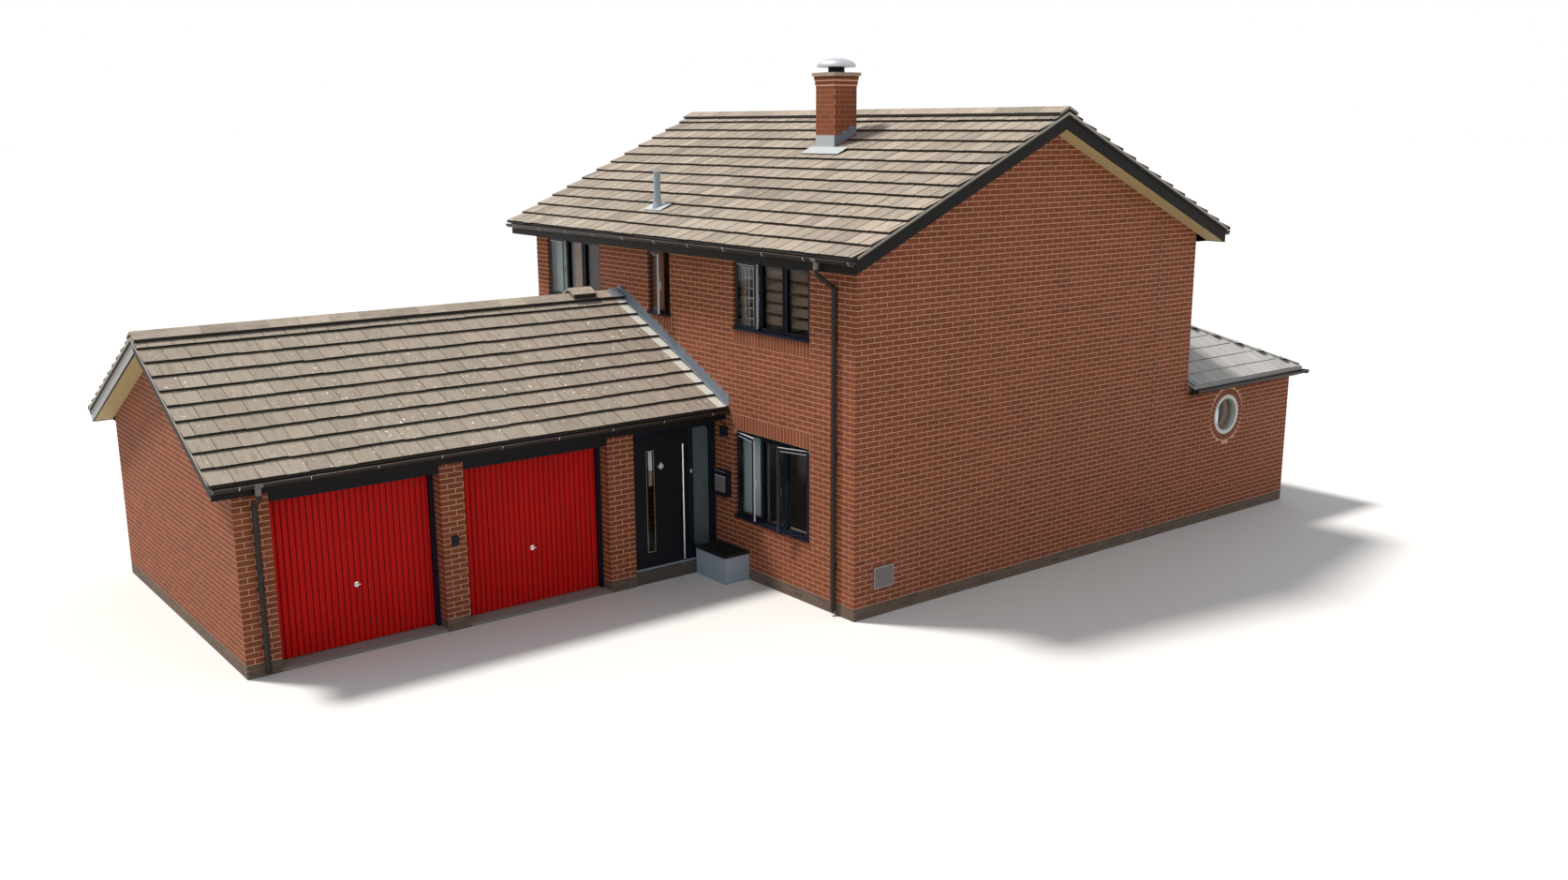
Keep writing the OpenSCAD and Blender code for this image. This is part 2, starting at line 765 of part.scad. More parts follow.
// Hipped block that fills the space under the extension roof
module hipped() {
  top = ext_edge_z + ext_rise;
  intersection() {
    along_y(main_d, ext_end)
      polygon([[ext_mid - ext_reach, ext_edge_z], [ext_mid + ext_reach, ext_edge_z],
        [ext_mid, top]]);
    along_x(ext_mid - ext_reach, ext_mid + ext_reach)
      polygon([[main_d - 1, ext_edge_z], [ext_end, ext_edge_z], [ext_end - ext_reach, top],
        [main_d - 1, top]]);
  }
}

// Section of an extension slope, from the ridge at 0 to its edge
module ext_section() {
  ridge_z = ext_edge_z + ext_rise;
  polygon([[0, ridge_z + bedding], [ext_reach, ext_edge_z + bedding],
    [ext_reach, ext_edge_z + ext_roof_t], [0, ridge_z + ext_roof_t]]);
}

// Everything over an outline seen from above, from the edge of the slopes upwards
module ext_plan(points) {
  translate([0, 0, ext_edge_z]) linear_extrude(ext_rise + ext_roof_t + 1) polygon(points);
}

// Two side slopes and a hipped rear slope, mitred along the ridge and the hips
module extension_roof() {
  hip_y = ext_end - ext_reach;
  color([0.62, 0.63, 0.65]) house() translate([ext_mid, 0, 0]) {
    for (side = [0, 1]) mirror([side, 0, 0]) intersection() {
      along_y(main_d, ext_end) ext_section();
      ext_plan([[mitre_gap, main_d - 1], [ext_reach + 1, main_d - 1],
        [ext_reach + 1, ext_end + 1 - mitre_gap], [mitre_gap, hip_y]]);
    }
    intersection() {
      along_x(-ext_reach, ext_reach) translate([hip_y, 0]) ext_section();
      ext_plan([[0, hip_y], [ext_reach + 1, ext_end + 1], [-ext_reach - 1, ext_end + 1]]);
    }
  }
}

// Section of a ridge tile bedded on tiles that meet at mid and at the height peak
module cap_profile(mid, peak, slope, reach = ridge_reach, t = ridge_t) {
  top = peak + bedding;
  low = reach * slope;
  polygon([[mid - reach, top - low], [mid, top], [mid + reach, top - low],
    [mid + reach, top - low + t], [mid, top + t], [mid - reach, top - low + t]]);
}

// The two ridges; near the house wall a vent tile stands on a neck over the wing's
module ridge_tiles() {
  peak = wing_tiles(wing_mid);
  y0 = -ridge_vent_y - ridge_vent_l;
  color([0.5, 0.47, 0.43]) house() {
    along_x(-main_w - verge_over, verge_over) cap_profile(main_mid, main_tiles(main_mid), main_tan);
    along_y(-wing_l - wing_verge, 0) cap_profile(wing_mid, peak, wing_tan);
    along_y(y0, -ridge_vent_y) cap_profile(wing_mid, peak + ridge_t + ridge_vent_rise, wing_tan);
    along_y(y0 + ridge_vent_in, -ridge_vent_y - ridge_vent_in)
      cap_profile(wing_mid, peak + ridge_t - 1, wing_tan, ridge_vent_w / 2, ridge_vent_rise + 2);
  }
}

// A sloping board under a roof from a to b, between depths d0 and d1 below the rafter backs
module main_board(x0, x1, a, b, d0, d1) {
  along_x(x0, x1)
    polygon([[a, main_deck(a) - d1], [b, main_deck(b) - d1], [b, main_deck(b) - d0],
      [a, main_deck(a) - d0]]);
}

module wing_board(y0, y1, a, b, d0, d1) {
  along_y(y0, y1)
    polygon([[a, wing_deck(a) - d1], [b, wing_deck(b) - d1], [b, wing_deck(b) - d0],
      [a, wing_deck(a) - d0]]);
}

main_barge_in = verge_over - barge_back - barge_t;
wing_barge_out = -wing_l - wing_verge + barge_back;

module bargeboards() {
  color(dark) house() {
    for (x = [main_barge_in, -main_w - main_barge_in - barge_t]) {
      main_board(x, x + barge_t, -eaves_over, main_mid - board_gap / 2, 0, barge_h);
      main_board(x, x + barge_t, main_mid + board_gap / 2, main_d + eaves_over, 0, barge_h);
    }
    for (side = [-1, 1])
      wing_board(wing_barge_out, wing_barge_out + barge_t, wing_mid + side * board_gap / 2,
        wing_mid + side * (wing_half + wing_over), 0, wing_barge_h);
  }
}

module verge_soffits() {
  color([0.85, 0.8, 0.55]) house() {
    for (x = [0, -main_w - main_barge_in]) {
      main_board(x, x + main_barge_in, -eaves_over + fascia_t, main_mid - board_gap / 2,
        barge_h - soffit_t, barge_h);
      main_board(x, x + main_barge_in, main_mid + board_gap / 2, main_d + eaves_over - fascia_t,
        barge_h - soffit_t, barge_h);
    }
    for (side = [-1, 1])
      wing_board(wing_barge_out + barge_t, -wing_l, wing_mid + side * board_gap / 2,
        wing_mid + side * (wing_half + wing_over - fascia_t), wing_barge_h - soffit_t, wing_barge_h);
  }
}

module eaves_soffits() {
  color(dark) house() {
    for (y = [-eaves_over + fascia_t, main_d])
      block([-main_w, y, main_soffit_z],
        [0, y + eaves_over - fascia_t, main_soffit_z + soffit_t]);
    for (x = [-wing_x, -main_w - wing_over + fascia_t])
      block([x, -wing_l, wing_soffit_z], [x + wing_over - fascia_t, 0, wing_soffit_z + soffit_t]);
  }
}

module fascias() {
  color(dark) house() {
    for (y = [-eaves_over, main_d + eaves_over - fascia_t])
      block([-main_w - main_barge_in, y, main_soffit_z],
        [main_barge_in, y + fascia_t, eaves_z]);
    for (x = [-wing_x + wing_over - fascia_t, -main_w - wing_over])
      block([x, wing_barge_out + barge_t, wing_soffit_z], [x + fascia_t, 0, wing_eaves_z]);
    difference() {
      block([-ext_w - ext_over, main_d, ext_wall_z], [ext_over, ext_rear + ext_over, ext_eaves_z]);
      block([-ext_w - ext_over + fascia_t, main_d - 1, ext_wall_z + soffit_t],
        [ext_over - fascia_t, ext_rear + ext_over - fascia_t, ext_eaves_z + 1]);
      block([-ext_w, main_d - 1, ext_wall_z - 1], [0, ext_rear, ext_eaves_z + 1]);
    }
  }
}

// A half round trough with closed ends along X; back is the side of the fascia, -1 or 1
module trough(x0, x1, back) {
  difference() {
    along_x(x0, x1) difference() {
      circle(gutter_r);
      translate([-2 * gutter_r, 0]) square([4 * gutter_r, 2 * gutter_r]);
    }
    along_x(x0 + gutter_t, x1 - gutter_t) circle(gutter_r - gutter_t);
  }
  y0 = back > 0 ? gutter_r - gutter_t : -gutter_r;
  block([x0, y0, -gutter_back_h], [x1, y0 + gutter_t, 0]);
}

module gutters() {
  ends = verge_over - barge_back;
  color([0.16, 0.12, 0.11]) house() {
    translate([0, -main_gutter_y, main_gutter_z]) trough(-main_w - ends, ends, 1);
    translate([0, main_d + main_gutter_y, main_gutter_z]) trough(-main_w - ends, ends, -1);
    for (side = [-1, 1])
      translate([wing_mid + side * wing_gutter_x, 0, wing_gutter_z]) rotate([0, 0, 90])
        trough(wing_barge_out, 0, side);
    for (side = [-1, 1])
      translate([ext_mid + side * (ext_half + ext_gutter_off), 0, ext_gutter_z]) rotate([0, 0, 90])
        trough(main_d, ext_rear + ext_over, side);
    translate([0, ext_rear + ext_gutter_off, ext_gutter_z])
      trough(-ext_w - ext_over - 2 * gutter_r, ext_over + 2 * gutter_r, -1);
  }
}

// A pipe of cylinders with a ball at each bend, through points in one upright plane
module pipe_run(points) {
  for (i = [0 : len(points) - 2]) {
    a = points[i];
    b = points[i + 1];
    v = b - a;
    l = norm(v);
    translate(a) rotate([0, acos(v[2] / l), atan2(v[1], v[0])]) cylinder(h = l, r = pipe_r);
    if (i > 0) translate(a) sphere(pipe_r + socket_t);
  }
}

// Downpipe on a wall whose face is at y = 0 and looks along -Y: it leaves the underside of a
// gutter, bends back under the soffit to the wall and ends in a shoe
module downpipe(out, rim, soffit) {
  knee = soffit - pipe_r;
  low = knee - offset_fall * (out - pipe_off);
  difference() {
    pipe_run([[0, -out, rim], [0, -out, knee], [0, -pipe_off, low],
      [0, -pipe_off, pipe_foot + pipe_r], [0, -pipe_off - pipe_r, pipe_foot]]);
    translate([0, -out, rim]) along_x(-2 * pipe_r, 2 * pipe_r) circle(gutter_r);
  }
  for (share = clip_levels) {
    z = pipe_foot + (low - pipe_foot) * share;
    block([-pipe_r - clip_reach, -pipe_off, z], [pipe_r + clip_reach, 0, z + clip_h]);
  }
}

module downpipes() {
  color([0.18, 0.15, 0.14]) house() {
    translate([-front_pipe_x, 0, 0]) downpipe(main_gutter_y, main_gutter_z, main_soffit_z);
    translate([-main_w + rear_pipe_x, main_d, 0]) rotate([0, 0, 180])
      downpipe(main_gutter_y, main_gutter_z, main_soffit_z);
    for (side = [-1, 1])
      translate([wing_mid + side * wing_half, -wing_l + wing_pipe_y, 0]) rotate([0, 0, side * 90])
        downpipe(wing_over + gutter_r, wing_gutter_z, wing_soffit_z);
  }
}

module chimney_stack() {
  color(brick) house() {
    stack_body(stack_foot, stack_z);
    course = corbel_h / corbel_n;
    for (i = [1 : corbel_n])
      stack_body(stack_z + (i - 1) * course, stack_z + i * course, corbel_over * i / corbel_n);
  }
}

module chimney_cap() {
  color([0.7, 0.69, 0.66]) house()
    stack_body(stack_z + corbel_h, stack_z + corbel_h + cap_t, corbel_over + cap_over);
}

// A round neck under a low dome whose section is a quarter of an ellipse
module chimney_cowl() {
  rim_z = cowl_neck_h + cowl_rim_t;
  dome = [for (a = [0 : 15 : 90]) [cowl_r * cos(a), rim_z + cowl_dome_h * sin(a)]];
  color("silver") house()
    translate([-stack_x - stack_w / 2, stack_y + stack_w / 2, stack_z + corbel_h + cap_t])
      rotate_extrude() polygon(concat([[0, 0], [cowl_neck_r, 0], [cowl_neck_r, cowl_neck_h],
        [cowl_r, cowl_neck_h]], dome));
}

// Stepped lead on a wall beside a roof slope, over a run from u0 to u1 along the slope
function stepped(u0, u1, z0, slope, h, n) = concat(
  [[u0, z0 + bedding], [u1, z0 + bedding + abs(u1 - u0) * slope]],
  [for (i = [n - 1 : -1 : 0]) for (k = [1, 0])
    [u0 + (u1 - u0) * (i + k) / n, z0 + h + abs(u1 - u0) * slope * (i + 0.5) / n]]);

module lead_flashings() {
  back = stack_y + stack_w;
  edge = wing_mid + wing_tile_half;
  far_edge = wing_mid - wing_tile_half;
  front = stack_y - apron_front;
  color(lead) house() {
    difference() {
      along_x(-stack_x - stack_w - lead_t, -stack_x + lead_t)
        polygon(stepped(stack_y - lead_t, back + lead_t, main_tiles(stack_y - lead_t), main_tan,
          lead_h, stack_steps));
      stack_body(stack_foot, stack_z);
    }
    along_x(-stack_x - stack_w - apron_left, -stack_x + apron_right)
      polygon([[front, main_tiles(front) + bedding],
        [stack_y - lead_t, main_tiles(stack_y - lead_t) + bedding],
        [stack_y - lead_t, main_tiles(stack_y - lead_t) + lead_t],
        [front, main_tiles(front) + lead_t]]);
    difference() {
      along_y(-lead_t, 0) {
        polygon(stepped(edge, wing_mid + ridge_reach, wing_tiles(edge), wing_tan, lead_h,
          wing_steps));
        polygon(stepped(far_edge, wing_mid - ridge_reach, wing_tiles(far_edge), wing_tan, lead_h,
          wing_steps));
      }
      holes(upper_windows, upper_sill, upper_win_h, -lead_t - 1, 1);
    }
  }
}

module vent_pipe() {
  y0 = vent_y - vent_base_d / 2;
  y1 = vent_y + vent_base_d / 2;
  low = main_tiles(y0) - 1;
  cone_z = main_tiles(vent_y) + vent_cone_h;
  color("silver") house() difference() {
    union() {
      translate([-vent_x, vent_y, low]) cylinder(h = vent_z - low, r = vent_r);
      translate([-vent_x, vent_y, cone_z]) cylinder(h = vent_r, r = vent_r + 2 * lead_t);
      translate([-vent_x, vent_y, low])
        cylinder(h = cone_z - low, r1 = vent_cone_r, r2 = vent_r + lead_t);
      along_x(-vent_x - vent_base_w / 2, -vent_x + vent_base_w / 2)
        polygon([[y0, main_tiles(y0)], [y1, main_tiles(y1)], [y1, main_tiles(y1) + lead_t],
          [y0, main_tiles(y0) + lead_t]]);
    }
    along_x(-vent_x - vent_base_w, -vent_x + vent_base_w)
      polygon([[y0 - 1, main_tiles(y0 - 1) + bedding], [y1 + 1, main_tiles(y1 + 1) + bedding],
        [y1 + 1, low - 1], [y0 - 1, low - 1]]);
  }
}

// Frame of one doorway: posts, head and a roller track behind each post
module door_frame(c) {
  half = garage_open_w / 2;
  difference() {
    block([post_x, c - half, garage_slab_t], [post_x + post_d, c + half, head_z + head_h]);
    block([post_x - 1, c - half + post_w, garage_slab_t - 1],
      [post_x + post_d + 1, c + half - post_w, head_z]);
  }
  for (side = [-1, 1]) translate([0, c, 0]) mirror([0, side < 0 ? 1 : 0, 0]) difference() {
    block([pivot_x - track_half - track_t, track_y, garage_slab_t],
      [post_x, track_y + track_w, head_z]);
    block([pivot_x - track_half, track_y - 1, garage_slab_t - 1],
      [pivot_x + track_half, track_y + track_w - track_t, head_z + 1]);
  }
}

module garage_door_frames() {
  color(dark) house() for (c = door_centres) door_frame(c);
}

// Pressed sheet with upright ribs, drawn from above and carried up
module ribbed_sheet(c) {
  pitch = leaf_w / rib_count;
  slope = pitch * rib_flank;
  flat = pitch / 2 - slope;
  front = [for (i = [0 : rib_count - 1]) for (p = [[0, -rib_d], [slope, 0], [slope + flat, 0],
    [2 * slope + flat, -rib_d]]) [leaf_x + p[1], c - leaf_w / 2 + i * pitch + p[0]]];
  last = [[leaf_x - rib_d, c + leaf_w / 2], [leaf_x - rib_d - sheet_t, c + leaf_w / 2],
    [leaf_x - rib_d - sheet_t, c - leaf_w / 2]];
  translate([0, 0, leaf_z]) linear_extrude(leaf_h) polygon(concat(front, last));
}

module leaf(c) {
  back = leaf_x - leaf_t;
  mid = leaf_x - rib_d - sheet_t;
  ribbed_sheet(c);
  difference() {
    block([back, c - leaf_w / 2, leaf_z], [mid, c + leaf_w / 2, leaf_z + leaf_h]);
    for (i = [0, 1, 2]) {
      bay = (leaf_h - stiffener) / 3;
      block([back - 1, c - leaf_w / 2 + stiffener, leaf_z + stiffener + i * bay],
        [mid, c + leaf_w / 2 - stiffener, leaf_z + (i + 1) * bay]);
    }
    for (side = [-1, 1]) translate([pivot_x, c + side * leaf_w / 2, pivot_z]) rotate([90, 0, 0])
      cylinder(h = 2 * pin_in, r = pin_r + pin_gap, center = true);
  }
}

module garage_door_left() {
  color([0.6, 0.03, 0.04]) house() leaf(door_centres[0]);
}

module garage_door_right() {
  color([0.6, 0.03, 0.04]) house() leaf(door_centres[1]);
}

// Two rollers, each with its pin in the side of the leaf
module rollers(c) {
  pin_z = leaf_w / 2 - pin_in + pin_end_gap;
  for (side = [-1, 1]) translate([pivot_x, c, pivot_z]) rotate([side * -90, 0, 0]) {
    translate([0, 0, pin_z]) cylinder(h = roller_y + roller_w - pin_z, r = pin_r);
    translate([0, 0, roller_y]) cylinder(h = roller_w, r = roller_r);
  }
}

module rollers_left() {
  color("dimgray") house() rollers(door_centres[0]);
}

module rollers_right() {
  color("dimgray") house() rollers(door_centres[1]);
}

module handle(c) {
  translate([leaf_x, c, leaf_z + handle_h]) rotate([0, 90, 0]) {
    cylinder(h = handle_plate_t, r = handle_r);
    cylinder(h = handle_off, r = handle_stem_r);
  }
  translate([leaf_x + handle_off, c, leaf_z + handle_h]) rotate([90, 0, 0])
    cylinder(h = handle_bar_l, r = handle_bar_r, center = true);
}

module handle_left() {
  color("silver") house() handle(door_centres[0]);
}

module handle_right() {
  color("silver") house() handle(door_centres[1]);
}

module front_door() {
  color(dark) house() difference() {
    block([entry_x - door_t, leaf_left, door_low], [entry_x, leaf_right, door_high]);
    block([entry_x - door_t - 1, slot_y, slot_low], [entry_x + 1, slot_y + slot_w, slot_high]);
  }
}

module door_glass() {
  color([0.6, 0.7, 0.75, 0.5]) house()
    block([entry_x - door_t + slot_glass_back, slot_y, slot_low],
      [entry_x - slot_glass_back, slot_y + slot_w, slot_high]);
}

module door_furniture() {
  mid_z = (door_low + door_high) / 2 - pull_drop;
  mid_y = (leaf_left + leaf_right) / 2;
  color("silver") house() {
    translate([entry_x + pull_off, pull_y, mid_z - pull_l / 2]) cylinder(h = pull_l, r = pull_r);
    for (s = [-1, 1])
      translate([entry_x, pull_y, mid_z + s * (pull_l / 2 - bracket_end)]) rotate([0, 90, 0])
        cylinder(h = pull_off, r = bracket_r);
    along_x(entry_x, entry_x + plate_t)
      polygon([[mid_y - plate_r, plate_z], [mid_y, plate_z - plate_r], [mid_y + plate_r, plate_z],
        [mid_y, plate_z + plate_r]]);
    for (z = hinge_levels) difference() {
      union() {
        translate([hinge_x, hinge_y, z]) cylinder(h = knuckle_h, r = hinge_r);
        block([hinge_x, hinge_y - hinge_web, z],
          [entry_x - door_t, hinge_y + hinge_web, z + knuckle_h]);
      }
      translate([hinge_x, hinge_y, z - 1]) cylinder(h = knuckle_h + 2, r = hinge_pin_r + pin_gap);
    }
  }
}

// Fixed knuckles of the front door's hinges, each with the pin that carries the leaf
module fixed_knuckles() {
  for (z = hinge_levels) {
    low = z - knuckle_gap - knuckle_h;
    translate([hinge_x, hinge_y, low]) {
      cylinder(h = knuckle_h, r = hinge_r);
      cylinder(h = 2 * knuckle_h, r = hinge_pin_r);
    }
    block([hinge_x - hinge_web, entry_y + entry_post_w - 1, low],
      [hinge_x + hinge_web, hinge_y, low + knuckle_h]);
  }
}

module entrance_frame() {
  color(dark) house() {
    fixed_knuckles();
    entrance_posts();
  }
}

// Posts, head and sill around the door and the side light; the door's sill ends in a round nose
module entrance_posts() {
  back = entry_x - frame_d;
  front = entry_x + entry_front;
  nose = entry_sill_t / 2;
  difference() {
    block([back, entry_y, entry_sill_z - entry_sill_t], [front, 0, entry_head_z]);
    block([back - 1, entry_y + entry_post_w, entry_sill_z],
      [front + 1, mullion_left, entry_head_z - entry_head_h]);
    block([back - 1, mullion_right, entry_sill_z + side_rail_h],
      [front + 1, -entry_right_w, entry_head_z - entry_head_h]);
  }
  along_y(entry_y, mullion_right) {
    translate([front - 1, entry_sill_z - entry_sill_t]) square([sill_nose - nose + 1, entry_sill_t]);
    translate([front + sill_nose - nose, entry_sill_z - nose]) circle(nose);
  }
}

module entrance_step() {
  color([0.4, 0.3, 0.26]) house()
    block([-wing_x - pier_d, entry_y, 0], [-wing_x - step_back, 0, entry_sill_z - entry_sill_t]);
}

// Places what is drawn in a casement's own plane, X from its hinge edge and Y outwards, in front of
// its light; at the rear every casement is shut
module casements(w, sill, face, out) {
  for (c = w[3])
    translate([light_x(w, c[0]) - sash_lap + (c[1] > 0 ? sash_wide(w) : 0),
      face - out * (frame_back - bedding), sill + sash_foot])
      mirror([c[1] > 0 ? 1 : 0, 0, 0]) mirror([0, out < 0 ? 1 : 0, 0])
        rotate([0, 0, out < 0 ? c[2] : 0]) children();
}

// Framed window with equal lights in a wall that runs along X; out is -1 or 1
module window_frame(w, sill, height, face, out) {
  y0 = out < 0 ? face + frame_back : face - frame_back - frame_d;
  difference() {
    block([w[0], y0, sill], [w[0] + w[1], y0 + frame_d, sill + height]);
    for (i = [0 : w[2] - 1])
      block([light_x(w, i), y0 - 1, sill + frame_w],
        [light_x(w, i) + light_w(w), y0 + frame_d + 1, sill + height - frame_w]);
  }
  s0 = out < 0 ? face - sill_over : face - frame_back;
  block([w[0], s0, sill], [w[0] + w[1], s0 + sill_over + frame_back, sill + sill_t]);
  casements(w, sill, face, out) difference() {
    cube([sash_wide(w), sash_t, sash_high(height)]);
    block([sash_w, -1, sash_w],
      [sash_wide(w) - sash_w, sash_t + 1, sash_high(height) - sash_w]);
  }
}

module window_glass(w, sill, height, face, out) {
  y0 = out < 0 ? face + frame_back : face - frame_back - frame_d;
  g0 = y0 + (frame_d - glass_t) / 2;
  for (i = [0 : w[2] - 1]) if (!opens(w, i))
    block([light_x(w, i), g0, sill + frame_w],
      [light_x(w, i) + light_w(w), g0 + glass_t, sill + height - frame_w]);
  casements(w, sill, face, out)
    block([sash_w, sash_glass_back, sash_w],
      [sash_wide(w) - sash_w, sash_t - sash_glass_back, sash_high(height) - sash_w]);
}

ext_window = [ext_mid - win_w / 2, win_w, 3, []];
ext_win_h = ext_wall_z - lower_sill;

module window_frames_ground() {
  color(dark) house() {
    for (w = front_lower) window_frame(w, lower_sill, lower_win_h, 0, -1);
    for (w = rear_lower) window_frame(w, lower_sill, lower_win_h, main_d, 1);
    window_frame(ext_window, lower_sill, ext_win_h, ext_rear, 1);
  }
}

module window_frames_upper() {
  color(dark) house() for (w = upper_windows) {
    window_frame(w, upper_sill, upper_win_h, 0, -1);
    window_frame(w, upper_sill, upper_win_h, main_d, 1);
  }
}

module glass_ground() {
  color([0.6, 0.7, 0.75, 0.5]) house() {
    for (w = front_lower) window_glass(w, lower_sill, lower_win_h, 0, -1);
    for (w = rear_lower) window_glass(w, lower_sill, lower_win_h, main_d, 1);
    window_glass(ext_window, lower_sill, ext_win_h, ext_rear, 1);
    block([entry_x - frame_d / 2 - glass_t / 2, mullion_right, entry_sill_z + side_rail_h],
      [entry_x - frame_d / 2 + glass_t / 2, -entry_right_w, entry_head_z - entry_head_h]);
    translate([-frame_back - frame_d / 2 - glass_t / 2, main_d + round_y, round_z])
      rotate([0, 90, 0]) cylinder(h = glass_t, r = round_r - round_ring_w);
  }
}

module glass_upper() {
  color([0.6, 0.7, 0.75, 0.5]) house() for (w = upper_windows) {
    window_glass(w, upper_sill, upper_win_h, 0, -1);
    window_glass(w, upper_sill, upper_win_h, main_d, 1);
  }
}

module round_window() {
  color("white") house()
    translate([-frame_back - frame_d, main_d + round_y, round_z]) rotate([0, 90, 0]) difference() {
      cylinder(h = frame_d + frame_back, r = round_r);
      translate([0, 0, -1]) cylinder(h = frame_d + frame_back + 2, r = round_r - round_ring_w);
    }
}

module gable_vent() {
  color("gray") house() block([0, gable_vent_y, gable_vent_z],
    [gable_vent_d, gable_vent_y + gable_vent_w, gable_vent_z + gable_vent_h]);
}

module mailbox() {
  x0 = -wing_x + mailbox_x;
  color(dark) house()
    block([x0, -mailbox_d, mailbox_z], [x0 + mailbox_w, 0, mailbox_z + mailbox_h]);
}

module wall_fittings() {
  x0 = -wing_x + lamp_x;
  y0 = -wing_l + end_pier_w + garage_open_w + (mid_pier_w - pier_box_w) / 2;
  color(dark) house() {
    block([x0, -lamp_d, lamp_z], [x0 + lamp_w, 0, lamp_z + lamp_h]);
    block([-wing_x, y0, pier_box_z], [-wing_x + pier_box_d, y0 + pier_box_w, pier_box_z + pier_box_h]);
  }
}

// A trough with a coping that overhangs its two free sides
module corner_planter() {
  x0 = -wing_x + planter_gap;
  color("gray") house() difference() {
    union() {
      block([x0, -planter_d, 0], [x0 + planter_w, 0, planter_h - coping_t]);
      block([x0, -planter_d - coping_over, planter_h - coping_t],
        [x0 + planter_w + coping_over, 0, planter_h]);
    }
    block([x0 + planter_t, -planter_d + planter_t, planter_t],
      [x0 + planter_w - planter_t, -planter_t, planter_h + 1]);
  }
}

front_wall();
rear_wall();
right_gable_wall();
left_gable_wall();
ground_floor();
first_floor();
garage_floor();
garage_piers();
garage_lintel();
garage_end_wall();
garage_side_wall();
extension_walls();
roof_front_slope();
roof_rear_slope();
garage_roof_right();
garage_roof_left();
extension_roof();
ridge_tiles();
bargeboards();
verge_soffits();
eaves_soffits();
fascias();
gutters();
downpipes();
chimney_stack();
chimney_cap();
chimney_cowl();
lead_flashings();
vent_pipe();
garage_door_frames();
garage_door_left();
garage_door_right();
rollers_left();
rollers_right();
handle_left();
handle_right();
front_door();
door_glass();
door_furniture();
entrance_frame();
entrance_step();
window_frames_ground();
window_frames_upper();
glass_ground();
glass_upper();
round_window();
gable_vent();
mailbox();
wall_fittings();
corner_planter();
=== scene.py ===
import json
import math

import bpy
import numpy as np
from mathutils import Matrix, Vector


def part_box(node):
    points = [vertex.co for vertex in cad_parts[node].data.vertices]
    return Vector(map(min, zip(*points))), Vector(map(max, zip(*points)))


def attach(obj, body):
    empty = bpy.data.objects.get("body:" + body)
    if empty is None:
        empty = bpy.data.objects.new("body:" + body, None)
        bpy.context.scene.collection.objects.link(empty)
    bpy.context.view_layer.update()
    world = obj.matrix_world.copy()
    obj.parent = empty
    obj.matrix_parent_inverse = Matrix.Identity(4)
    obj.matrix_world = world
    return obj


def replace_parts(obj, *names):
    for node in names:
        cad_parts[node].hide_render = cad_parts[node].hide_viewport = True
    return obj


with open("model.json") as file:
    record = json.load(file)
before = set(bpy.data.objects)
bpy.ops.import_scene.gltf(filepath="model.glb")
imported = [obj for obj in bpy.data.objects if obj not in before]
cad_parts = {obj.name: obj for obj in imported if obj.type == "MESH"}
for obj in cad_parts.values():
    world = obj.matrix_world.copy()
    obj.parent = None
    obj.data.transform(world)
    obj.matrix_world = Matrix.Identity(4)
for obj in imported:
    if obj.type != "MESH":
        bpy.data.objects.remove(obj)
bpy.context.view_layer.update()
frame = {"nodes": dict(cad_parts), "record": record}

bl_info = {
    "name": "Detached brick house",
    "version": (1, 0, 0),
    "blender": (4, 5, 0),
    "location": "View3D > Sidebar > House",
    "description": "Dresses a detached house in bricks, tiles, joinery and fittings",
    "category": "Object",
}

BOX = {name: tuple(np.array(corner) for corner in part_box(name)) for name in frame["nodes"]}
HOUSE = "house"

# Front right ground corner of the main house, from which the sizes below are measured
CORNER = np.array([BOX["right_gable_wall"][1][0], BOX["right_gable_wall"][0][1], 0.0])
MAIN_W = CORNER[0] - BOX["left_gable_wall"][0][0]
MAIN_D = BOX["right_gable_wall"][1][1] - CORNER[1]
WING_X = BOX["garage_piers"][1][0] - CORNER[0]
WING_L = CORNER[1] - BOX["garage_end_wall"][0][1]
EXT_W = CORNER[0] - BOX["extension_walls"][0][0]
EXT_Y = BOX["extension_walls"][1][1] - CORNER[1]
UPPER_SILL, UPPER_HEAD = BOX["window_frames_upper"][0][2], BOX["window_frames_upper"][1][2]

# Openings: heights, widths and the right edges of the three windows of a storey
GROUND_SILL, GROUND_HEAD = 0.915, 2.265
DOOR_FOOT, DOOR_HEAD = 0.2, 2.25
WIDE, NARROW = 1.77, 0.63
RIGHT, MIDDLE, LEFT = -0.965, -4.395, -6.495
# Eaves: height of the roof's underside at its edge and the edge's distance from the wall
MAIN_EAVES_Z, MAIN_EAVES_OUT = 5.011, 0.30
WING_EAVES_Z, WING_EAVES_OUT = 2.545, 0.2
# Axes of the gutters
MAIN_GUTTER_OUT, MAIN_GUTTER_Z = 0.362, 5.003
WING_GUTTER_X, FAR_GUTTER_X, WING_GUTTER_Z = -2.893, -8.912, 2.537
# Tones that paint a face near black as painted shade in a joint, and that mark a unit of the pale
# colour
SHADE_PAINT_TONE, PALE_TONE = -1.0, 2.0


def local(node):
    """Lowest and highest corner of a node, measured from the house's front right ground corner."""
    return BOX[node][0] - CORNER, BOX[node][1] - CORNER


# Sizes and colours that a user would change

def a_length(name, description, default):
    return bpy.props.FloatProperty(name=name, description=description, default=default,
                                   unit="LENGTH")


def a_colour(name, description, default):
    return bpy.props.FloatVectorProperty(name=name, description=description, default=default,
                                         subtype="COLOR", size=3)


def an_angle(name, description, degrees):
    return bpy.props.FloatProperty(name=name, description=description, subtype="ANGLE",
                                   default=math.radians(degrees))


def a_count(name, description, default):
    return bpy.props.IntProperty(name=name, description=description, default=default)


def a_number(name, description, default):
    return bpy.props.FloatProperty(name=name, description=description, default=default)


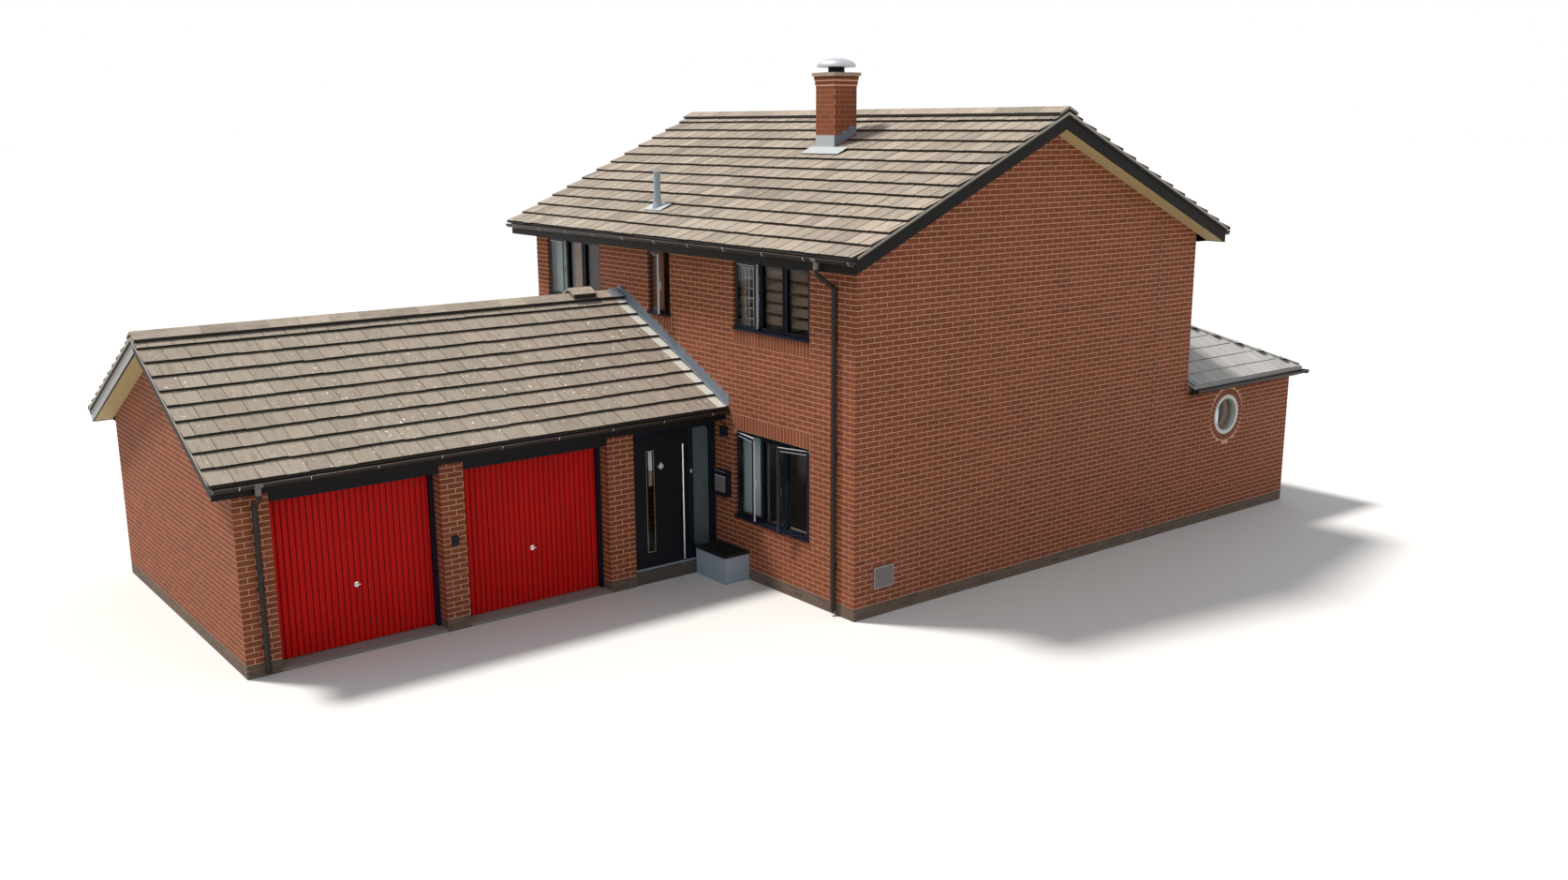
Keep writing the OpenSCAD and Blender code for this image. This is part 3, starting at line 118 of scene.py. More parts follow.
class BrickSizes(bpy.types.PropertyGroup):
    length: a_length("Length", "Length of a brick", 0.213)
    height: a_length("Height", "Height of a brick", 0.063)
    joint: a_length("Joint", "Width of a mortar joint", 0.012)
    proud: a_length("Proud", "Height of a brick's face over its mortar", 0.003)
    clay: a_colour("Clay", "Colour of the brick", (0.25, 0.066, 0.025))
    mortar: a_colour("Mortar", "Colour of the mortar", (0.82, 0.47, 0.31))


class TileSizes(bpy.types.PropertyGroup):
    cover: a_length("Cover", "Visible width of a tile", 0.30)
    thick: a_length("Thickness", "Thickness of a tile", 0.038)
    pale: a_length("Pale strip", "Width of the pale tiles by the wall", 0.20)
    build_up: a_length("Build-up", "Upright thickness of the covering", 0.0947)
    ridge_length: a_length("Ridge tile", "Length of a ridge tile", 0.45)
    ridge_reach: a_length("Ridge reach", "Reach of a ridge tile", 0.19)
    ridge_thick: a_length("Ridge height", "Height over the slope", 0.039)
    gap: a_length("Gap", "Gap between two slates or ridge tiles", 0.005)
    main_courses: a_count("Main courses", "Courses on a main slope", 13)
    wing_courses: a_count("Wing courses", "Courses on a wing slope", 10)
    slate_courses: a_count("Slate courses", "Courses on the extension", 8)
    main_pitch: an_angle("Main pitch", "Pitch of the main roof", 24.5)
    wing_pitch: an_angle("Wing pitch", "Pitch of the wing roof", 25.5)
    stone: a_colour("Concrete", "Colour of the tiles", (0.35, 0.292, 0.235))
    slate: a_colour("Slate", "Colour of the slates", (0.46, 0.45, 0.43))


class JoinerySizes(bpy.types.PropertyGroup):
    red: a_colour("Door red", "Colour of the garage doors", (0.72, 0.008, 0.007))
    black: a_colour("Black", "Colour of frames and boards", (0.010, 0.015, 0.028))
    lead: a_colour("Lead", "Colour of the lead sheet", (0.20, 0.24, 0.29))
    member: a_length("Frame member", "Width of a window frame's member", 0.055)
    bead_plane: a_length("Frame depth", "Depth of a frame in its wall", 0.050)
    lap: a_length("Lap", "Lap of a casement over its frame", 0.012)
    sash: a_length("Sash", "Thickness of a casement", 0.030)
    foot: a_length("Foot", "Height of a casement over the sill", 0.033)


class StageSizes(bpy.types.PropertyGroup):
    lens: bpy.props.FloatProperty(name="Lens", description="Focal length on a 36 mm sensor",
                                  default=31.994, unit="CAMERA")
    eye: bpy.props.FloatVectorProperty(name="Eye", description="Camera place from the house corner",
                                       subtype="TRANSLATION", size=3,
                                       default=(13.736, -12.013, 6.712))
    yaw: an_angle("Yaw", "Turn of the camera from the rear to the left", 51.82)
    pitch: an_angle("Pitch", "Tilt of the camera below the horizon", 12.77)
    roll: an_angle("Roll", "Roll of the camera", -0.22)
    sun: a_number("Key light", "Strength of the key light", 3.4)
    sky: a_number("Fill light", "Strength of the light from all sides", 0.50)


GROUPS = {"house_bricks": BrickSizes, "house_tiles": TileSizes, "house_joinery": JoinerySizes,
          "house_stage": StageSizes}
FINISHES = {}


# Meshes: arrays in, one piece out

def put(name, corners, faces, finish, body=HOUSE, slot=None, tone=None, smooth=False):
    """Makes a piece from an array of corners and an array of four-cornered faces, in the frame's
    axes."""
    mesh = bpy.data.meshes.new(name)
    mesh.vertices.add(len(corners))
    mesh.vertices.foreach_set("co", np.asarray(corners, np.float32).ravel())
    mesh.loops.add(faces.size)
    mesh.loops.foreach_set("vertex_index", faces.astype(np.int32).ravel())
    mesh.polygons.add(len(faces))
    mesh.polygons.foreach_set("loop_start",
                              np.arange(0, faces.size, faces.shape[1], dtype=np.int32))
    mesh.polygons.foreach_set("use_smooth", np.full(len(faces), smooth))
    if tone is not None:
        shade = mesh.attributes.new("tone", "FLOAT", "FACE")
        shade.data.foreach_set("value", np.asarray(tone, np.float32))
    mesh.update(calc_edges=True)
    piece = bpy.data.objects.new(name, mesh)
    bpy.context.scene.collection.objects.link(piece)
    mesh.materials.append(finish)
    if body:
        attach(piece, body)
    return piece


def dress(name, finish, *parts, **more):
    """Makes one piece from several pairs of corners and faces, in the finish of that name."""
    return put(name, *join(*parts), FINISHES[finish], **more)


def join(*parts):
    """Several pairs of corners and faces as one pair."""
    corners, faces, start = [], [], 0
    for c, f in parts:
        corners.append(c)
        faces.append(f + start)
        start += len(c)
    return np.concatenate(corners), np.concatenate(faces)


def rows(*columns):
    """Columns side by side as one array; a single number fills its whole column."""
    return np.stack(np.broadcast_arrays(*columns), 1)


# Faces of a block whose corner i has the bits of i as its three coordinates: underside, top, near
# and far face along the second axis, near and far face along the first
BLOCK_FACES = np.array([[0, 2, 3, 1], [4, 5, 7, 6], [0, 1, 5, 4], [2, 6, 7, 3], [0, 4, 6, 2],
                        [1, 3, 7, 5]])


def blocks(low, high, axes=None, origin=(0, 0, 0)):
    """Blocks between two arrays of corners. Each corner is low plus a 0 or 1 along each of the
    three axes times the block's size, and the whole array is turned into the axes at once."""
    low, high = np.atleast_2d(low).astype(float), np.atleast_2d(high).astype(float)
    axes = np.eye(3) if axes is None else np.asarray(axes, float)
    bits = np.array([[i & 1, i >> 1 & 1, i >> 2 & 1] for i in range(8)])
    corners = low[:, None, :] + bits[None] * (high - low)[:, None, :]
    faces = BLOCK_FACES[None] + 8 * np.arange(len(low))[:, None, None]
    if np.linalg.det(axes) < 0:
        faces = faces[..., ::-1]
    return (corners.reshape(-1, 3) @ axes + np.asarray(origin, float)), faces.reshape(-1, 4)


def plank(start, end, across, drop):
    """A straight board: its corners are the start plus each choice of its three edges, measured
    from the house's corner."""
    start = np.asarray(start, float)
    return blocks([0, 0, 0], [1, 1, 1], np.array([np.subtract(end, start), across, drop], float),
                  start + CORNER)


def slab(low, high):
    """A level block between two corners, measured from the house's corner."""
    return blocks(low, high, origin=CORNER)


def border(axis, face, low, high, wide, proud):
    """Four bars round an upright rectangle on a wall. The axis is the one the wall looks along,
    face its place there, low and high the rectangle's corners; bars lie outside it and stand
    proud."""
    (a0, z0), (a1, z1) = low, high
    spans = [((a0 - wide, z0 - wide), (a1 + wide, z0)), ((a0 - wide, z1), (a1 + wide, z1 + wide)),
             ((a0 - wide, z0), (a0, z1)), ((a1, z0), (a1 + wide, z1))]
    f0, f1 = sorted((face, face + proud))
    made = [((f0, a, z), (f1, b, t)) if axis == 0 else ((a, f0, z), (b, f1, t))
            for (a, z), (b, t) in spans]
    return slab([m[0] for m in made], [m[1] for m in made])


def ring(outer, inner, z0, z1):
    """Four level bars between two rectangles, each given as its left, front, right and rear
    edge."""
    (a, b, c, d), (e, f, g, h) = outer, inner
    return slab([[a, b, z0], [a, h, z0], [a, f, z0], [g, f, z0]],
                [[c, f, z1], [c, d, z1], [e, h, z1], [c, h, z1]])


def tube(path, radius, sides=12):
    """A circle carried along a path: each ring is the path's point plus the radius times the
    cosine and sine of an even angle along two directions square to the path. The first of them
    is also square to the axis along which the path spreads least. Both ends are closed."""
    path = np.asarray(path, float)
    ahead = np.gradient(path, axis=0)
    ahead /= np.linalg.norm(ahead, axis=1)[:, None]
    helper = np.eye(3)[np.argmin(np.ptp(path, axis=0))]
    side = np.cross(ahead, helper)
    side /= np.linalg.norm(side, axis=1)[:, None]
    up = np.cross(side, ahead)
    turn = np.linspace(0, 2 * np.pi, sides, endpoint=False)[None, :, None]
    radius = np.broadcast_to(radius, len(path))[:, None, None]
    hoops = side[:, None] * np.cos(turn) + up[:, None] * np.sin(turn)
    corners = (path[:, None] + radius * hoops).reshape(-1, 3)
    i, k = np.meshgrid(np.arange(len(path) - 1), np.arange(sides), indexing="ij")
    n = (k + 1) % sides
    faces = np.stack([i * sides + k, i * sides + n, (i + 1) * sides + n, (i + 1) * sides + k], -1)
    first, last = len(corners), len(path) * sides - sides
    k = np.arange(0, sides, 2)
    start = rows(first, (k + 2) % sides, k + 1, k)
    stop = rows(first + 1, last + k, last + k + 1, last + (k + 2) % sides)
    faces = np.concatenate([faces.reshape(-1, 4), start, stop])[:, ::-1]
    return np.concatenate([corners, [path[0], path[-1]]]), faces


def rod(start, end, radius, sides=12, points=3):
    """A straight tube between two points, measured from the house's corner."""
    return tube(np.linspace(start, end, points) + CORNER, radius, sides)


# Finishes: shader maths as expressions

class Reading:
    """A socket's value, so that shader maths reads as an expression."""

    def __init__(self, finish, socket):
        self.finish, self.socket = finish, socket

    def _math(self, operation, first, second):
        return self.finish.node("ShaderNodeMath", {"operation": operation}, {0: first, 1: second})

    def __add__(self, other):
        return self._math("ADD", self, other)

    def __radd__(self, other):
        return self._math("ADD", other, self)

    def __sub__(self, other):
        return self._math("SUBTRACT", self, other)

    def __mul__(self, other):
        return self._math("MULTIPLY", self, other)

    def larger(self, other):
        return self._math("MAXIMUM", self, other)

    def clamped(self):
        return self.finish.node("ShaderNodeClamp", {}, {0: self})


class Nodes:
    """A node tree that is built from readings."""

    def __init__(self, tree):
        self.tree = tree

    def node(self, kind, settings, inputs, out=0):
        """A node with its settings and inputs, read at one output if it has any."""
        made = self.tree.nodes.new(kind)
        for key, value in settings.items():
            setattr(made, key, value)
        for key, value in inputs.items():
            if isinstance(value, Reading):
                self.tree.links.new(value.socket, made.inputs[key])
            else:
                made.inputs[key].default_value = value
        return Reading(self, made.outputs[out]) if made.outputs else None

    def rays(self):
        """Whether a ray comes from the camera, from gloss or through glass."""
        return [self.node("ShaderNodeLightPath", {}, {}, "Is " + kind + " Ray")
                for kind in ("Camera", "Glossy", "Transmission")]


class Finish(Nodes):
    """A material built from readings. The surface's fixed numbers are set on the shader's
    sockets."""

    def __init__(self, name, **fixed):
        self.material = bpy.data.materials.new(name)
        self.material.use_nodes = True
        super().__init__(self.material.node_tree)
        self.shader = self.tree.nodes["Principled BSDF"]
        for socket, value in fixed.items():
            self.shader.inputs[socket.replace("_", " ")].default_value = value

    def noise(self, scale, detail=4.0, rough=0.55, stretch=(1, 1, 1)):
        where = self.node("ShaderNodeTexCoord", {}, {}, "Object")
        place = self.node("ShaderNodeMapping", {}, {"Vector": where, "Scale": stretch})
        return self.node("ShaderNodeTexNoise", {}, {"Vector": place, "Scale": scale,
                                                    "Detail": detail, "Roughness": rough})

    def step(self, value, low, high):
        """0 below low and 1 above high, with a straight climb between them."""
        return self.node("ShaderNodeMapRange", {}, {0: value, 1: low, 2: high, 3: 0.0, 4: 1.0})

    def tone(self):
        return self.node("ShaderNodeAttribute", {"attribute_name": "tone"}, {}, "Fac")

    def mix(self, factor, first, second):
        return self.node("ShaderNodeMix", {"data_type": "RGBA"}, {0: factor, 6: first, 7: second},
                         2)

    def bump(self, height, distance):
        return self.node("ShaderNodeBump", {}, {"Height": height, "Distance": distance,
                                                "Strength": 1.0})

    def feeds(self, **links):
        for socket, reading in links.items():
            self.tree.links.new(reading.socket, self.shader.inputs[socket.replace("_", " ")])
        return self.material


def rgba(colour, light=1.0):
    """A colour with every channel times light, as four numbers."""
    return tuple(min(1.0, c * light) for c in colour[:3]) + (1.0,)


def masonry(name, colour, spread, pale, rough, grain, specks=0.0, streak=None):
    """Fired or cast units: each unit's own tone, darker fired patches, pale bloom and a fine
    grain. With streak, grime is drawn out along the slope. With specks, lichen lies in groups,
    a tone over 1 marks a pale unit and a tone under 0 paints a face near black: painted shade."""
    f = Finish(name, Roughness=rough)
    tone = f.tone()
    patch = f.noise(9.0, 5.0)
    base = f.mix((tone * 0.75 + patch * 0.5 - 0.12).clamped(), rgba(colour, 1 - spread),
                 rgba(colour, 1 + spread))
    bloom = f.step(f.noise(21.0, 6.0, 0.7), 0.60, 0.74)
    base = f.mix(bloom * 0.2, base, rgba(pale))
    if streak:
        grime = f.step(f.noise(2.2, 6.0, 0.72, streak), 0.50, 0.72)
        base = f.mix(grime * 0.62, base, rgba(colour, 0.32))
    if specks:
        lichen = f.step(f.noise(17.0, 1.0), 0.69, 0.73) * f.step(f.noise(0.5, 2.0), 0.35, 0.60)
        base = f.mix(lichen * specks, base, rgba(pale, 1.25))
        base = f.mix(f.step(tone, 1.1, 1.4), base, rgba(pale))
        # Painted shade: faces with a tone under 0 turn near black, for the shadow in joints and
        # under courses
        base = f.mix(f.step(tone, -0.2, -0.5), base, rgba(colour, 0.04))
    return f.feeds(Base_Color=base, Normal=f.bump(f.noise(grain, 5.0, 0.7), 0.0015),
                   Roughness=rough - 0.12 + patch * 0.2)


def sheeted(name, colour, rough, wear, metal=0.0, grain=60.0, depth=0.0003, coat=0.0, gloss=0.5):
    """Painted or bare sheet and moulded plastic: slow drifts of tone, dust, and a fine skin."""
    f = Finish(name, Metallic=metal, Coat_Weight=coat, Coat_Roughness=0.2,
               Specular_IOR_Level=gloss)
    drift = f.noise(1.7, 4.0)
    dust = f.step(f.noise(13.0, 6.0, 0.7), 0.45, 0.80)
    base = f.mix(drift, rgba(colour, 0.82), rgba(colour, 1.18))
    base = f.mix(dust * wear, base, rgba([c * 0.5 + 0.16 for c in colour]))
    return f.feeds(Base_Color=base, Roughness=rough + dust * 0.22 + drift * 0.08,
                   Normal=f.bump(f.noise(grain, 4.0, 0.6), depth))


def boarded(name, colour, rough):
    """Painted timber: a grain drawn out along the board, thin wear and slow drifts of tone."""
    f = Finish(name, Specular_IOR_Level=0.12)
    grain = f.noise(14.0, 6.0, 0.65, (1, 1, 9))
    wear = f.step(f.noise(5.0, 5.0, 0.7), 0.62, 0.80)
    base = f.mix(grain, rgba(colour, 0.75), rgba(colour, 1.3))
    base = f.mix(wear * 0.15, base, rgba([c * 0.6 + 0.07 for c in colour]))
    return f.feeds(Base_Color=base, Roughness=rough + wear * 0.25, Normal=f.bump(grain, 0.0006))


def glazing(name):
    """Clear glass with a faint grey tint and a little dust. Its index is low, because gloss sees
    a white studio, which a full index would show as glare."""
    f = Finish(name, Transmission_Weight=1.0, IOR=1.2)
    dust = f.step(f.noise(2.5, 5.0), 0.5, 0.8)
    return f.feeds(Base_Color=f.mix(dust, (0.80, 0.86, 0.88, 1), (0.70, 0.76, 0.78, 1)),
                   Roughness=dust * 0.05)


def finishes(scene):
    """Makes each finish once; the same ones dress the pieces and the frame's own nodes."""
    brick, tile, wood = scene.house_bricks, scene.house_tiles, scene.house_joinery

    def add(maker, name, *values, **named):
        FINISHES[name] = maker(name, *values, **named)

    # Colour, spread, pale colour, roughness, grain, specks, streak
    add(masonry, "brick_face", brick.clay, 0.27, (0.52, 0.30, 0.20), 0.9, 260.0)
    add(masonry, "plinth_face", (0.155, 0.105, 0.078), 0.3, (0.3, 0.24, 0.19), 0.9, 260.0)
    add(masonry, "tile_face", rgba(tile.stone, 1.05), 0.42, (0.66, 0.61, 0.53), 0.92, 180.0, 0.7,
        (8, 1.4, 1.4))
    add(masonry, "wing_tile_face", tile.stone, 0.19, (0.66, 0.63, 0.57), 0.92, 180.0, 1.0,
        (1.4, 8, 1.4))
    add(masonry, "slate_face", tile.slate, 0.14, (0.56, 0.56, 0.54), 0.75, 90.0, 0.1)
    # Colour, roughness, wear, metal
    add(sheeted, "mortar", brick.mortar, 0.85, 0.2, grain=220.0, depth=0.001)
    add(sheeted, "joint_mortar", (0.50, 0.45, 0.38), 0.85, 0.3, grain=220.0, depth=0.001)
    add(sheeted, "stack_joint", (0.40, 0.19, 0.12), 0.9, 0.2, grain=220.0, depth=0.001)
    add(sheeted, "plinth_joint", (0.21, 0.17, 0.135), 0.9, 0.2, grain=220.0, depth=0.001)
    add(sheeted, "sealant", (0.05, 0.035, 0.03), 0.7, 0.2)
    add(sheeted, "roof_felt", (0.035, 0.03, 0.027), 0.8, 0.2, grain=120.0, depth=0.001)
    add(sheeted, "screed", (0.5, 0.46, 0.4), 0.7, 0.2, grain=150.0, depth=0.0006)
    add(sheeted, "threshold", (0.27, 0.25, 0.235), 0.85, 0.4, grain=200.0, depth=0.001)
    add(sheeted, "riser", (0.10, 0.085, 0.07), 0.9, 0.3, grain=200.0, depth=0.001)
    add(sheeted, "cap_stone", (0.44, 0.35, 0.26), 0.85, 0.3, grain=160.0, depth=0.001)
    add(sheeted, "soil_dark", (0.012, 0.012, 0.013), 0.9, 0.2, grain=90.0, depth=0.002)
    add(sheeted, "lead", wood.lead, 0.5, 0.4, 0.2, 40.0, 0.0015)
    add(sheeted, "pale_lead", (0.48, 0.51, 0.53), 0.55, 0.35, 0.1, 40.0, 0.0015)
    add(sheeted, "galvanised", (0.52, 0.54, 0.57), 0.38, 0.3, 0.7, 30.0, 0.0006)
    add(sheeted, "steel", (0.5, 0.5, 0.52), 0.35, 0.3, 0.9)
    add(sheeted, "silver", (0.80, 0.80, 0.82), 0.18, 0.08, 1.0)
    add(sheeted, "gilt", (0.62, 0.54, 0.38), 0.25, 0.08, 0.9)
    # Painted highlight: a blue-grey for the sheen on the entrance sill's nose
    add(sheeted, "sill_metal", (0.40, 0.47, 0.56), 0.32, 0.1, 0.3)
    add(sheeted, "bright_trim", (0.80, 0.80, 0.82), 0.3, 0.04)
    add(sheeted, "red_door", wood.red, 0.42, 0.02, grain=25.0, gloss=0.15)
    # Painted shade: a dark red for the shadow at the foot of each door groove
    add(sheeted, "door_groove", (0.11, 0.003, 0.003), 0.6, 0.02, gloss=0.1)
    add(sheeted, "frame_black", wood.black, 0.35, 0.03, gloss=0.15)
    add(sheeted, "coping_black", (0.015, 0.016, 0.019), 0.4, 0.05, gloss=0.2)
    add(sheeted, "rainwater", (0.030, 0.022, 0.020), 0.4, 0.14, gloss=0.25)
    # Painted highlight: a brown for the light caught by each gutter's rim
    add(sheeted, "gutter_rim", (0.13, 0.075, 0.06), 0.3, 0.15, coat=0.3)
    add(sheeted, "vent_grey", (0.36, 0.43, 0.48), 0.4, 0.2, gloss=0.3)
    add(sheeted, "white_frame", (0.80, 0.80, 0.79), 0.35, 0.12)
    add(sheeted, "grey_plastic", (0.21, 0.195, 0.18), 0.6, 0.3)
    add(sheeted, "planter_grey", (0.40, 0.50, 0.60), 0.5, 0.2)
    add(sheeted, "frosted", (0.13, 0.155, 0.15), 0.4, 0.1)
    add(sheeted, "blind_brown", (0.21, 0.115, 0.07), 0.5, 0.1)
    add(sheeted, "blind_dark", (0.07, 0.03, 0.025), 0.6, 0.1)
    add(sheeted, "blind_pale", (0.42, 0.50, 0.52), 0.6, 0.1)
    add(sheeted, "blind_rose", (0.50, 0.28, 0.21), 0.7, 0.1)
    # Colour, roughness
    add(boarded, "floor_boards", (0.36, 0.22, 0.11), 0.55)
    add(boarded, "black_board", (0.011, 0.010, 0.010), 0.5)
    add(boarded, "grey_board", (0.42, 0.42, 0.42), 0.5)
    add(boarded, "cream_board", (0.70, 0.60, 0.32), 0.6)
    add(boarded, "door_black", (0.011, 0.014, 0.018), 0.35)
    add(glazing, "glass")


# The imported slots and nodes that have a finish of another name
SLOT_FINISH = {"brick": "mortar", "floor": "screed", "timber_floor": "floor_boards",
               "concrete": "threshold", "roof_tile": "tile_face", "slate": "slate_face"}
NODE_FINISH = {"chimney_cap": "cap_stone", "entrance_step": "riser", "vent_pipe": "vent_grey"}


class HOUSE_OT_frame_finishes(bpy.types.Operator):
    """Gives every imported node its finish"""
    bl_idname = "house.frame_finishes"
    bl_label = "Frame finishes"

    def execute(self, context):
        finishes(context.scene)
        for part in frame["record"]["subparts"]:
            name, slot = part["node"], part["material_slot"]
            finish = FINISHES[NODE_FINISH.get(name, SLOT_FINISH.get(slot, slot))]
            mesh = frame["nodes"][name].data
            mesh.materials.clear()
            mesh.materials.append(finish)
        return {"FINISHED"}


# Brickwork

def courses(sizes, top):
    """Lower edges of the courses up to a height. A course is a brick and a joint high, and a joint
    lies under the upper window sills."""
    pitch = sizes.height + sizes.joint
    return np.arange(UPPER_SILL % pitch + sizes.joint - pitch, top, pitch)


def bond(sizes, run, parity, joint_at=()):
    """Ends of the bricks of one course of stretcher bond over a run; odd courses are shifted by
    half a brick. A wider upright joint parts the bricks at each place of joint_at."""
    pitch = sizes.length + sizes.joint
    start = np.arange(-pitch / 2 if parity else 0.0, run, pitch)
    spans = rows(np.maximum(start, 0), np.minimum(start + sizes.length, run))
    half = sizes.joint * 0.7
    for place in joint_at:
        left, right = spans[spans[:, 0] < place], spans[spans[:, 1] > place]
        spans = np.concatenate([rows(left[:, 0], np.minimum(left[:, 1], place - half)),
                                rows(np.maximum(right[:, 0], place + half), right[:, 1])])
    return spans


def cut(spans, low, high, reach):
    """Spans with the stretch from low to high taken out, leaving bricks that reach into it."""
    left = rows(spans[:, 0], np.minimum(spans[:, 1], low + reach))
    right = rows(np.maximum(spans[:, 0], high - reach), spans[:, 1])
    return np.concatenate([left[spans[:, 0] < low], right[spans[:, 1] > high]])


def brick_face(sizes, origin, along, out, run, top, holes=(), soldiers=(), rounds=(), joint_at=(),
               parity=0, z_from=0.0, ends=(0.0, 0.0), depth=0.02, line=None):
    """The bricks of one wall face as arrays of lowest and highest corners along the wall, upwards
    and outwards. Holes are (low, high, sill, head) and keep their reveals covered by brick ends;
    soldiers are the same four numbers, filled with bricks on end; rounds are (place, height,
    radius) of round holes; line gives the span at a height."""
    reach, reveal, sliver, touch = 0.002, 0.048, 0.015, 0.001
    low, high = [], []

    def add(a, b, z0, z1, back):
        low.append(rows(a, z0, -back))
        high.append(rows(b, z1, sizes.proud))

    for i, z in enumerate(courses(sizes, top)):
        z0, z1 = max(z, z_from), min(z + sizes.height, top)
        if z1 - z0 < sliver:
            continue
        spans = bond(sizes, run, (i + parity) % 2, joint_at)
        spans[spans[:, 0] == 0, 0] -= ends[0]
        spans[spans[:, 1] == run, 1] += ends[1]
        if line is not None:
            a, b = line(z)
            spans = rows(np.maximum(spans[:, 0], a), np.minimum(spans[:, 1], b))
        edges = []
        for fill, gaps in ((False, holes), (True, soldiers)):
            over = -sizes.joint if fill else reach
            for a, b, sill, head in gaps:
                if z1 <= sill + touch or z0 >= head - touch:
                    continue
                part = rows(np.maximum(spans[:, 0], a), np.minimum(spans[:, 1], b))
                part = part[part[:, 1] - part[:, 0] > sliver]
                if sill + over - z0 > sliver and len(part):
                    add(part[:, 0], part[:, 1], z0, sill + over, reveal)
                if z1 - head + over > sliver and len(part):
                    add(part[:, 0], part[:, 1], head - over, z1, reveal)
                spans = cut(spans, a, b, over)
                edges += [a, b]
        for a, z_mid, radius in rounds:
            off = max(z - z_mid, z_mid - z1, 0.0)
            if off < radius:
                half = math.sqrt(radius ** 2 - off ** 2)
                spans = cut(spans, a - half, a + half, 0.0)
        spans = spans[spans[:, 1] - spans[:, 0] > sliver]
        if not len(spans):
            continue
        back = np.full(len(spans), depth)
        for edge in edges:
            back[(np.abs(spans - edge) < reach + touch).any(1)] = reveal
        add(spans[:, 0], spans[:, 1], z0, z1, back)
    for a, b, sill, head in soldiers:
        width = b - a + sizes.joint
        amount = max(1, round(width / (sizes.height + sizes.joint)))
        start = a + width / amount * np.arange(amount)
        add(start, start + width / amount - sizes.joint, sill, head, reveal)
    axes = np.array([along, (0, 0, 1), out], float)
    return np.concatenate(low), np.concatenate(high), axes, np.asarray(origin, float) + CORNER


def lay_bricks(name, sizes, faces, seed, dark_over=99.0, bed=None):
    """Joins the bricks of several faces into one piece, with a random tone for each brick and
    darker tones for a few of them and for those over a height. The plinth's courses are their own
    piece. A thin coat of darker mortar fills the joints between them, and with a bed, the name of
    its finish, also those of the other bricks."""
    random = np.random.default_rng(seed)
    plinth_top, coat = 0.18, 0.0012
    for kind in ("", "_plinth"):
        parts, tones, beds = [], [], []
        for low, high, axes, origin in faces:
            base = high[:, 1] < plinth_top
            pick = base if kind else ~base
            if pick.any():
                parts.append(blocks(low[pick], high[pick], axes, origin))
                tones.append(random.normal(0.5, 0.19, pick.sum())
                             - 0.7 * (low[pick, 1] > dark_over))
                if kind or bed:
                    foot = 0 if kind else low[pick, 1].min()
                    beds.append(blocks([low[pick, 0].min(), foot, -coat],
                                       [high[pick, 0].max(), high[pick, 1].max(), coat],
                                       axes, origin))
        if not parts:
            continue
        if beds:
            dress(name + "_dark_joints", bed or "plinth_joint", *beds)
        tone = np.clip(np.concatenate(tones), 0, 1)
        tone[random.random(len(tone)) < 0.06] *= 0.3
        dress(name + kind, "plinth_face" if kind else "brick_face", *parts, slot="brick",
              tone=np.repeat(tone, 6))


def under_gable(width, eaves_z, eaves_out, slope):
    """A function that gives a wall's span under its gable at a height. Below the eaves it runs
    past both corners, so that it cuts nothing there."""
    def span(z):
        edge = max(0.0, (z - eaves_z) / slope - eaves_out)
        return (-1.0, width + 1.0) if edge == 0.0 else (edge, width - edge)
    return span


def openings(flip, ground, door):
    """Holes of the upper windows, a ground window and a door, and the soldier courses under the
    upper sills and over the ground window. flip measures from the right corner, for the rear."""
    def along(low, high):
        return (-high, -low) if flip else (low + MAIN_W, high + MAIN_W)

    under_sill, lintel = 0.215, (0.006, 0.236)
    upper = [along(edge - width, edge)
             for edge, width in ((RIGHT, WIDE), (MIDDLE, NARROW), (LEFT, WIDE))]
    ground, door = along(*ground), along(*door)
    holes = [(*edges, UPPER_SILL, UPPER_HEAD) for edges in upper]
    holes += [(*ground, GROUND_SILL, GROUND_HEAD), (*door, DOOR_FOOT, DOOR_HEAD)]
    soldiers = [(*edges, UPPER_SILL - under_sill, UPPER_SILL) for edges in upper]
    soldiers.append((*ground, GROUND_HEAD + lintel[0], GROUND_HEAD + lintel[1]))
    return holes, soldiers


